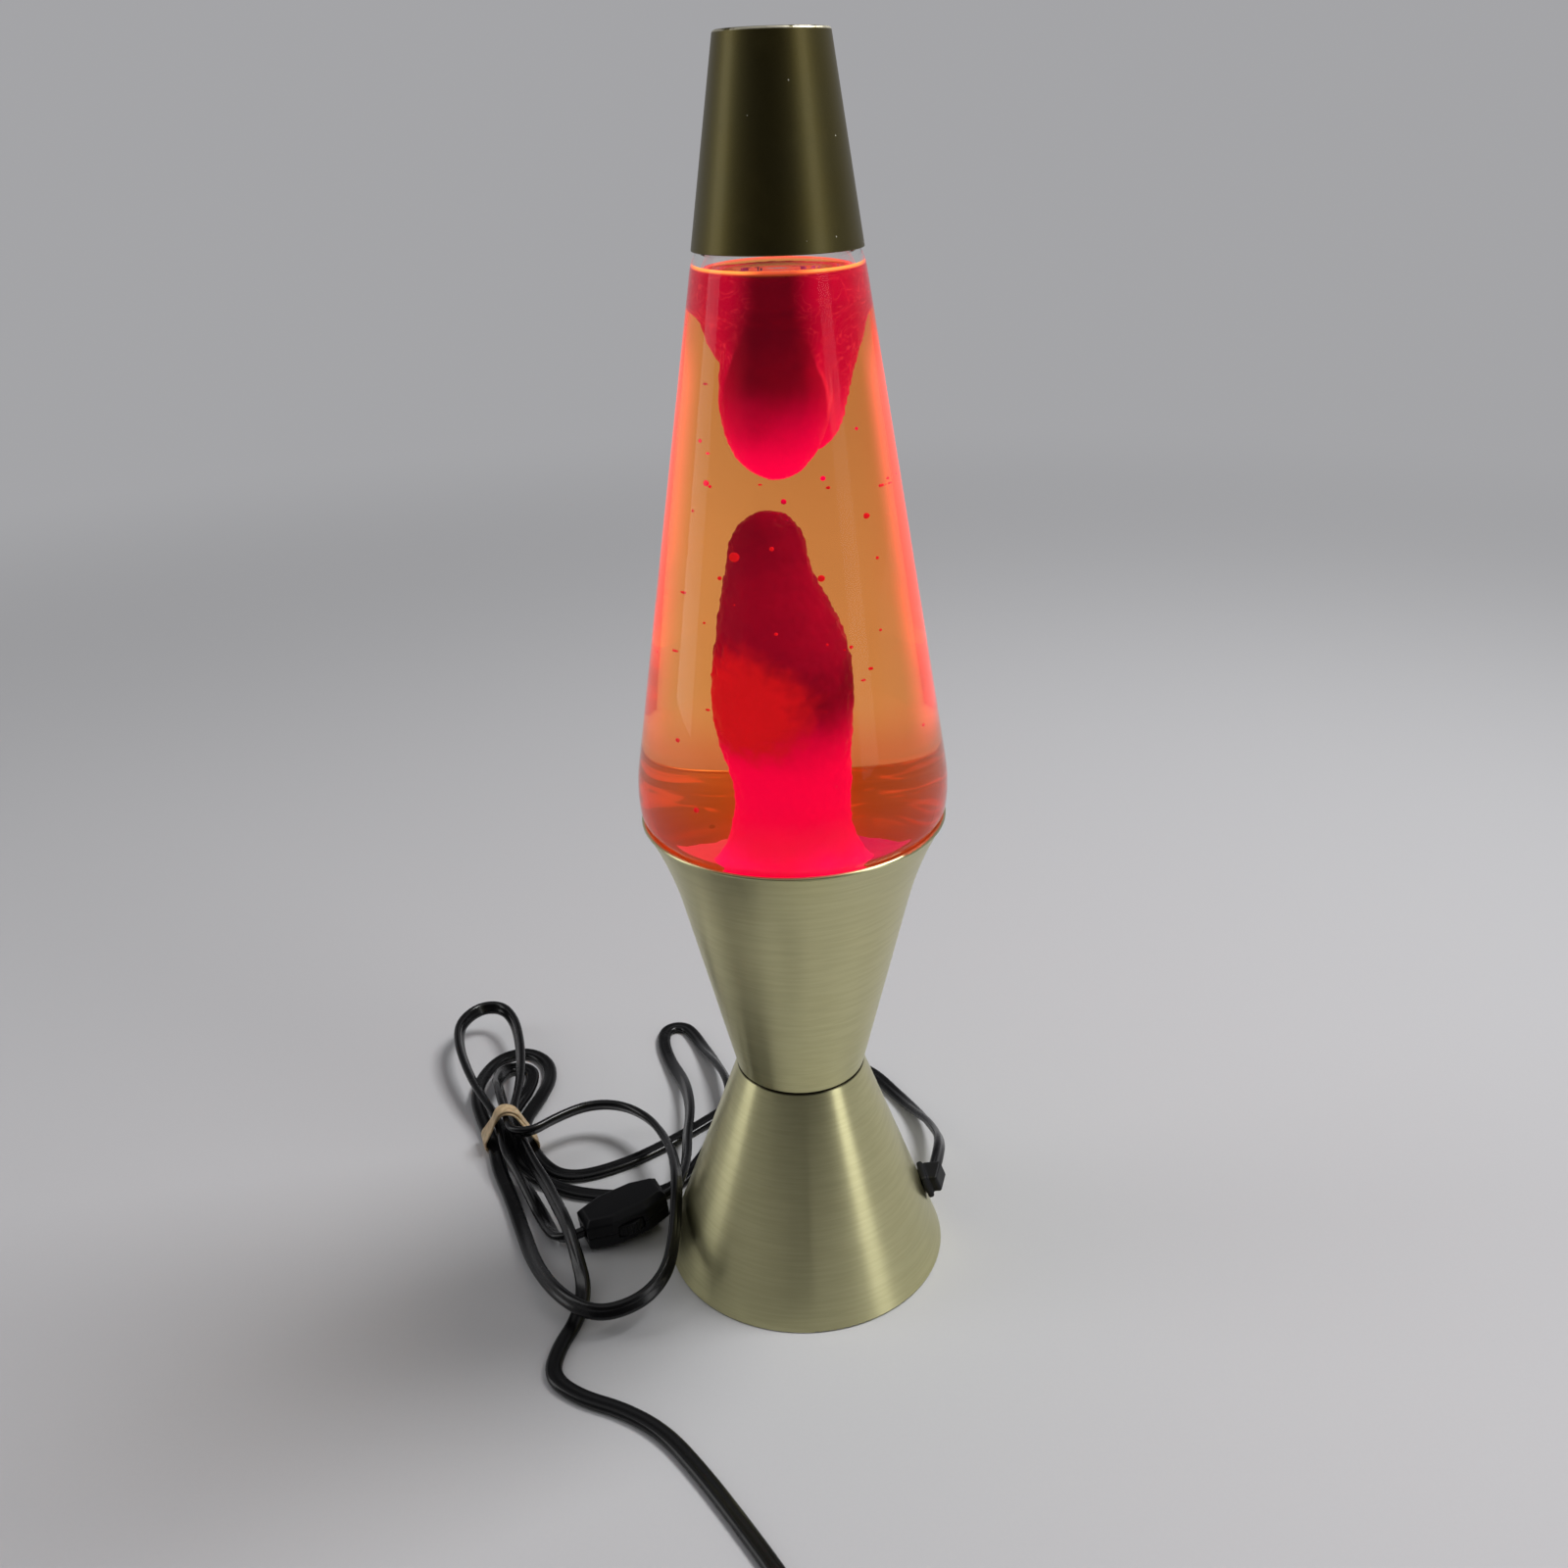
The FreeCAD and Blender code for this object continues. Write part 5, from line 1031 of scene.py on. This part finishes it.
def turned(name, outline, steps):
    """A piece turned round the lamp's axis from an outline in millimetres."""
    points = [Vector((p.x, 0, p.y)) * MM for p in rounded(outline)]
    piece = lone_point(name, points[0])
    for before, after in zip(points, points[1:]):
        bpy.ops.mesh.extrude_vertices_move(TRANSFORM_OT_translate={"value": after - before})
    bpy.ops.mesh.select_all(action="SELECT")
    bpy.ops.mesh.spin(steps=steps, angle=2 * math.pi, center=(0, 0, 0), axis=(0, 0, 1))
    bpy.ops.mesh.select_all(action="SELECT")
    bpy.ops.mesh.remove_doubles(threshold=0.001 * MM)
    bpy.ops.mesh.normals_make_consistent(inside=False)
    bpy.ops.object.mode_set(mode="OBJECT")
    bpy.ops.object.shade_smooth_by_angle(angle=math.radians(35))
    print(name, "faces", len(piece.data.polygons))
    return piece


def finished(piece, body, slot, *replaced):
    """Say where a piece belongs, and give it its material."""
    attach(piece, body)
    if replaced:
        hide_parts(*replaced)
    dress(piece, slot)


# %% [markdown]
# ## The bottle
# The bottle stands on a rounded ring, opens to its widest place just above the rim of the
# cup, and tapers up to the neck that the crown cap closes. The wall is the same nearly
# everywhere, so the inner line follows the outer one. Each corner of an outline is its
# distance from the axis, its height and its radius, in millimetres.

# %% Bottle
round_steps = 160
inner_floor = 140.6
floor_reach = 29.936
floor_radius = 3.0
inner_wall = [(42.551, 165.209, 5.4), (43.066, 172.856, 44.6)]
bottle_outside = [
    (0, 138.0, 0), (18.25, 138.0, 2.0), (21.75, 136.0, 1.0), (30.5, 136.0, 4.0),
    (45.109, 164.5, 8.0), (45.68, 172.98, 47.2), (22.46, 315.0, 10.0), (12.2, 340.0, 4.0),
    (12.2, 346.5, 0.6), (13.2, 347.5, 0.6), (13.2, 352.0, 1.2), (9.8, 352.0, 0.6),
]
bottle_inside = [(9.8, 339.0, 4.0), (19.942, 314.287, 7.4)] + inner_wall[::-1]
bottle_inside += [(floor_reach, inner_floor, floor_radius), (0, inner_floor, 0)]
bottle = turned("bottle", bottle_outside + bottle_inside, round_steps)
finished(bottle, "bottle", "bottle_glass", "bottle_glass")

# %% [markdown]
# ## The liquid
# The liquid reaches a tenth of a millimetre into the glass, so that no thin gap of air shows
# as a silver skin. At its top it climbs the wall: the rise falls off within a few millimetres.

# %% Liquid, in millimetres
into_glass = 0.1
rise_at_wall = 1.5
rise_reach = 1.1
wall_at_top = 19.83
ways_from_wall = (0, 0.25, 0.6, 1.1, 1.8, 3.0, 5.0, 9.0)


def meniscus():
    """The liquid's surface from the wall to the axis."""
    points = []
    for away in ways_from_wall:
        rise = rise_at_wall * math.exp(-away / rise_reach)
        points.append((wall_at_top + into_glass - away, liquid_top / MM + rise, 0))
    return points + [(0, liquid_top / MM, 0)]


liquid_outline = [
    (0, inner_floor - into_glass, 0), (floor_reach + into_glass, inner_floor - into_glass, floor_radius)]
liquid_outline += [(reach + into_glass, height, radius) for reach, height, radius in inner_wall]
liquid_outline += [(20.0 + into_glass, 314.0, 0)] + meniscus()
liquid = turned("amber_liquid", liquid_outline, round_steps)
finished(liquid, "bottle", "liquid_amber", "liquid")

# %% [markdown]
# ## Soft wax
# The CAD model holds the wax as a rigid solid of the photographed shape. Molten wax is never
# that even. A copy of each solid is remeshed into small even faces, smoothed, and pushed in
# and out a little by a cloud texture.

# %% Softened copies
wax_voxel = 0.7 * MM
wax_smoothing = 3


def soft_copy(name, node, voxel, smoothing, bulge=0, cloud_size=1):
    """A remeshed, smoothed and slightly uneven copy of a CAD part."""
    deselected()
    piece = bpy.data.objects.new(name, nodes[node].data.copy())
    bpy.context.collection.objects.link(piece)
    bpy.context.view_layer.objects.active = piece
    piece.select_set(True)
    bpy.ops.object.mode_set(mode="EDIT")
    bpy.ops.mesh.select_all(action="SELECT")
    bpy.ops.mesh.remove_doubles(threshold=0.005 * MM)
    bpy.ops.object.mode_set(mode="OBJECT")
    remesh = piece.modifiers.new("remesh", "REMESH")
    remesh.mode = "VOXEL"
    remesh.voxel_size = voxel
    smooth = piece.modifiers.new("smooth", "SMOOTH")
    smooth.iterations = smoothing
    if bulge:
        clouds = bpy.data.textures.new(name, "CLOUDS")
        clouds.noise_scale = cloud_size
        displace = piece.modifiers.new("displace", "DISPLACE")
        displace.texture = clouds
        displace.strength = bulge
        displace.mid_level = 0.5
    for modifier in [modifier.name for modifier in piece.modifiers]:
        bpy.ops.object.modifier_apply(modifier=modifier)
    bpy.ops.object.shade_smooth()
    print(name, "faces", len(piece.data.polygons))
    return piece


for name, node, bulge, cloud_size in (
        ("wax_column", "wax_lower", 0.9 * MM, 2.4 * MM),
        ("wax_drop", "wax_upper", 0.7 * MM, 3.0 * MM)):
    wax = soft_copy(name, node, wax_voxel, wax_smoothing, bulge, cloud_size)
    finished(wax, "bottle", "wax_red", node)

# %% [markdown]
# ### Moulded edges
# The switch's shells and the bushing are moulded, so their edges are round. The same
# remeshing, without the uneven push, takes the sharpness off the CAD parts.

# %% Rounded moulded parts
moulded_voxel = 0.32 * MM
moulded_smoothing = 5
moulded = {}
for name, node, slot in (
        ("switch_top", "switch_upper_shell", "switch_plastic"),
        ("switch_bottom", "switch_lower_shell", "switch_plastic"),
        ("bushing", "cord_bushing", "bushing_plastic")):
    moulded[name] = soft_copy(name, node, moulded_voxel, moulded_smoothing)
    finished(moulded[name], "base", slot, node)

# %% [markdown]
# ### Droplets
# A few small beads of wax hang in the liquid between the two pieces. One bead is modelled and
# copied, and the copies are joined. The larger ones are listed one by one, and the fine ones are
# scattered with a fixed seed.

# %% Droplets, in millimetres
placed_droplets = [
    (-19.5, -14, 273.7, 0.5), (-18, -14, 262.8, 0.8), (8.4, -10, 262.5, 0.65), (-0.2, -14, 257.7, 0.7),
    (17.8, -8, 251.6, 0.8), (-12, -18, 244.3, 1.3), (-3.2, -18, 246.3, 0.6), (-27.8, -16, 192, 0.65),
    (-23.7, -20, 172.8, 0.8), (7.8, -16, 237.5, 0.9), (14, -12, 217, 0.5), (-15.2, -14, 237.6, 0.55),
]
fine_droplets = 40
fine_seed = 12
fine_heights = (185, 285)
fine_reach = (0.55, 0.9)       # shares of the way from the axis to the wall
fine_radii = (0.22, 0.46)
widest_height = 172.9
widest_wall = 42
wall_taper = 0.163


def scattered_droplets():
    """Fine droplets round the column, the same at every run."""
    chance = random.Random(fine_seed)
    spots = []
    for _ in range(fine_droplets):
        height = chance.uniform(*fine_heights)
        wall = widest_wall - (height - widest_height) * wall_taper
        reach = chance.uniform(*fine_reach) * wall
        angle = chance.uniform(0, 2 * math.pi)
        radius = chance.uniform(*fine_radii)
        spots.append((reach * math.cos(angle), reach * math.sin(angle), height, radius))
    return spots


def make_droplets(spots):
    """All the droplets as one mesh."""
    beads = []
    for x, y, z, radius in spots:
        deselected()
        place = (x * MM, y * MM, z * MM)
        bpy.ops.mesh.primitive_ico_sphere_add(subdivisions=2, radius=radius * MM, location=place)
        bpy.ops.object.transform_apply(location=True)
        bpy.ops.object.shade_smooth()
        beads.append(bpy.context.object)
    deselected()
    for bead in beads:
        bead.select_set(True)
    bpy.context.view_layer.objects.active = beads[0]
    bpy.ops.object.join()
    beads[0].name = "wax_droplets"
    beads[0].data.name = "wax_droplets"
    return beads[0]


droplets = make_droplets(placed_droplets + scattered_droplets())
finished(droplets, "bottle", "wax_red")
print("droplets", len(placed_droplets) + fine_droplets)

# %% [markdown]
# ## The rubber band
# A flat band is slung twice round the folded cord, and its two turns cross on top. A long
# grid is bent round the bundle in code: the round length goes along the grid, the band's
# width across it. The ends meet and are merged, and a wall gives the strip its thickness.

# %% Rubber band, in millimetres
band_centre = Vector((-0.109, 0.0485, 0))              # in metres, as the frame is
band_heading = math.radians(109.3)
band_strands = [(-5.8, 4.0), (5.8, 4.0), (0, 14.05)]   # across and up: left, right and top
band_standoff = 3.45    # from the middle of a strand to the band's own middle
band_width = 5.2
band_thickness = 0.95
band_spread = 1.9       # how far each turn lies to its side
band_waver = 0.25
band_slant = 0.4
band_clearance = 0.12
band_steps = 240
crossing_turn = 1.5     # the turns that have been made where the band crosses itself
crossing_length = 0.16
crossing_rise = 1.02    # in thicknesses


def outward(way):
    """The direction to the right of a way, which points out of the bundle."""
    return Vector((way.y, -way.x))


def hull_of_strands(share):
    """The place and outward way of a tight loop round the strands, from its lowest middle."""
    left, right, top = [Vector(strand) for strand in band_strands]
    corners = [right, top, left]
    arcs, runs = [], []
    for i, corner in enumerate(corners):
        before = corner - corners[i - 1]
        after = corners[(i + 1) % 3] - corner
        turn = math.atan2(before.x * after.y - before.y * after.x, before.dot(after))
        arcs.append(turn * band_standoff)
        runs.append(after.length)
    total = sum(arcs) + sum(runs)
    left_over = (share % 1) * total
    bottom = right - left
    if left_over < bottom.length / 2:
        way = bottom.normalized()
        out = outward(way)
        return left + bottom / 2 + way * left_over + out * band_standoff, out
    left_over -= bottom.length / 2
    for i, corner in enumerate(corners):
        out = outward((corner - corners[i - 1]).normalized())
        if left_over < arcs[i]:
            out = Matrix.Rotation(left_over / band_standoff, 2) @ out
            return corner + out * band_standoff, out
        left_over -= arcs[i]
        way = (corners[(i + 1) % 3] - corner).normalized()
        if left_over < runs[i] or i == 2:
            out = outward(way)
            return corner + way * left_over + out * band_standoff, out
        left_over -= runs[i]


# %% [markdown]
# The loop above is one turn. The strip goes round it twice. A slow wave moves it to one side
# and back again, so that the two turns lie beside each other, and where they cross the upper
# one is lifted by a little more than the band's thickness.

# %% Strip of the band
def make_band():
    """The band's strip, bent twice round the bundle."""
    deselected()
    bpy.ops.mesh.primitive_grid_add(x_subdivisions=band_steps, y_subdivisions=4, size=1)
    piece = bpy.context.object
    piece.name = "twisted_band"
    piece.data.name = "twisted_band"
    along = Vector((math.cos(band_heading), math.sin(band_heading), 0))
    across = Vector((-math.sin(band_heading), math.cos(band_heading), 0))
    for vertex in piece.data.vertices:
        turns = (vertex.co.x + 0.5) * 2
        spot, out = hull_of_strands(turns)
        crossing = math.exp(-((turns - crossing_turn) / crossing_length) ** 2)
        sideways = band_spread * math.cos(math.pi * turns) + band_waver * math.sin(3 * math.pi * turns)
        spot = spot + out * (band_clearance + band_thickness * crossing_rise * crossing)
        shift = sideways + band_slant * spot.x + vertex.co.y * band_width
        vertex.co = band_centre + (across * spot.x + along * shift + Vector((0, 0, spot.y))) * MM
    bpy.ops.object.mode_set(mode="EDIT")
    bpy.ops.mesh.select_all(action="SELECT")
    bpy.ops.mesh.remove_doubles(threshold=0.01 * MM)
    bpy.ops.mesh.normals_make_consistent(inside=False)
    bpy.ops.object.mode_set(mode="OBJECT")
    wall = piece.modifiers.new("wall", "SOLIDIFY")
    wall.thickness = band_thickness * MM
    wall.offset = 0
    soft = piece.modifiers.new("soft", "SUBSURF")
    soft.levels = 1
    soft.render_levels = 1
    for modifier in ("wall", "soft"):
        bpy.ops.object.modifier_apply(modifier=modifier)
    bpy.ops.object.shade_smooth()
    print(piece.name, "faces", len(piece.data.polygons))
    return piece


band = make_band()
finished(band, "base", "band_rubber", "rubber_band")

# %% [markdown]

# %% [markdown]
# ## Table, wall and lights
# The lamp stands on a pale table that runs into a grey wall without a line. Near the lamp the
# table takes light and shadow. Further off it fades into the wall's grey, and so does the
# world above it, where rays from the camera or through glass look at it. The rest of the room
# is dark, with a paler ceiling, which is what gives the metal its depth.

# %% Greys, and distances in metres
wall_grey = (0.372, 0.372, 0.385)
room_dark = (0.022, 0.021, 0.021)
room_side = (0.16, 0.16, 0.16)
room_ceiling = (0.45, 0.45, 0.46)
table_darker = (0.56, 0.56, 0.575)
table_lighter = (0.575, 0.575, 0.59)
table_fades = (0.45, 1.4)       # from the lamp
table_dark_ahead = (-0.2, -0.6)
table_half_side = 3


def seen_directly(tree):
    """The light path's masks of a view ray, also through glass, and of a reflected one."""
    path = put(tree, "LightPath")
    reflected = math_node(tree, "MINIMUM", path.outputs["Glossy Depth"], 1.0)
    sent = product(tree, path.outputs["Is Transmission Ray"], reflected)
    glossy = math_node(tree, "MAXIMUM", path.outputs["Is Glossy Ray"], sent)
    clear = math_node(tree, "SUBTRACT", path.outputs["Is Transmission Ray"], sent)
    return math_node(tree, "MAXIMUM", path.outputs["Is Camera Ray"], clear), glossy


# %% Table
def make_table_finish():
    """A pale table that fades into the wall."""
    material, tree = new_material("table")
    place = object_place(tree)
    through, glossy = seen_directly(tree)
    away = between(tree, length_of(tree, place), *table_fades)
    share = product(tree, away, math_node(tree, "MAXIMUM", through, glossy))
    ahead = between(tree, axis_of(tree, place, "Y"), *table_dark_ahead)
    grey = mixed(tree, product(tree, glossy, ahead), wall_grey, room_dark)
    colour = mixed(tree, noise(tree, place, 900), table_darker, table_lighter)
    near = put(tree, "BsdfPrincipled", {"Base Color": colour, "Roughness": 0.7, "Specular IOR Level": 0.2})
    far = put(tree, "Emission", {"Color": grey, "Strength": 1.0})
    surface(tree, put(tree, "MixShader", {0: share, 1: near.outputs[0], 2: far.outputs[0]}).outputs[0])
    return material


floor = bpy.data.meshes.new("table")
side = table_half_side
corners = [(-side, -side, 0), (side, -side, 0), (side, side, 0), (-side, side, 0)]
floor.from_pydata(corners, [], [(0, 1, 2, 3)])
floor.materials.append(make_table_finish())
table = bpy.data.objects.new("table", floor)
bpy.context.collection.objects.link(table)


# %% Wall and room
def make_world():
    """A grey wall behind the lamp, and a dark room with a paler ceiling round it."""
    world = bpy.data.worlds.new("room")
    world.use_nodes = True
    tree = world.node_tree
    tree.nodes.clear()
    x, y, z = put(tree, "SeparateXYZ", {0: put(tree, "TexCoord").outputs["Generated"]}).outputs
    beside = between(tree, math_node(tree, "ABSOLUTE", x), 0.45, 0.9)
    above = between(tree, z, 0.6, 0.95)
    room = layered(tree, room_dark, [(beside, room_side), (above, room_ceiling)])
    through, glossy = seen_directly(tree)
    behind_and_low = product(tree, glossy, between(tree, y, 0.1, 0.5), between(tree, z, 0.6, 0.35))
    seen = math_node(tree, "MAXIMUM", through, behind_and_low)
    light = put(tree, "Background", {"Color": mixed(tree, seen, room, wall_grey), "Strength": 1.0})
    put(tree, "OutputWorld", {"Surface": light.outputs[0]})
    return world


scene.world = make_world()

# %% [markdown]
# Three soft lamps light it. A large one above gives the soft shadow on the table. A tall one
# stands at each side, and each draws its long streak on the metal.

# %% Soft lamps: place, width and height in metres, and power in watts
soft_lamps = {
    "light_above": ((0.62, 0.2, 1.2), 0.42, 0.42, 11.5),
    "light_left": ((-0.95, 0.0, 0.5), 0.36, 1.1, 2.2),
    "light_right": ((0.8, -0.5, 0.5), 0.28, 1.1, 1.9),
}
lamp_middle = Vector((0, 0, 0.18))

for name, (place, width, height, power) in soft_lamps.items():
    data = bpy.data.lights.new(name, "AREA")
    data.shape = "RECTANGLE"
    data.size = width
    data.size_y = height
    data.energy = power
    lamp = bpy.data.objects.new(name, data)
    lamp.visible_transmission = False
    bpy.context.collection.objects.link(lamp)
    facing = (Vector(place) - lamp_middle).to_track_quat("Z", "Y")
    lamp.matrix_world = Matrix.Translation(place) @ facing.to_matrix().to_4x4()
print("lamps", list(soft_lamps))
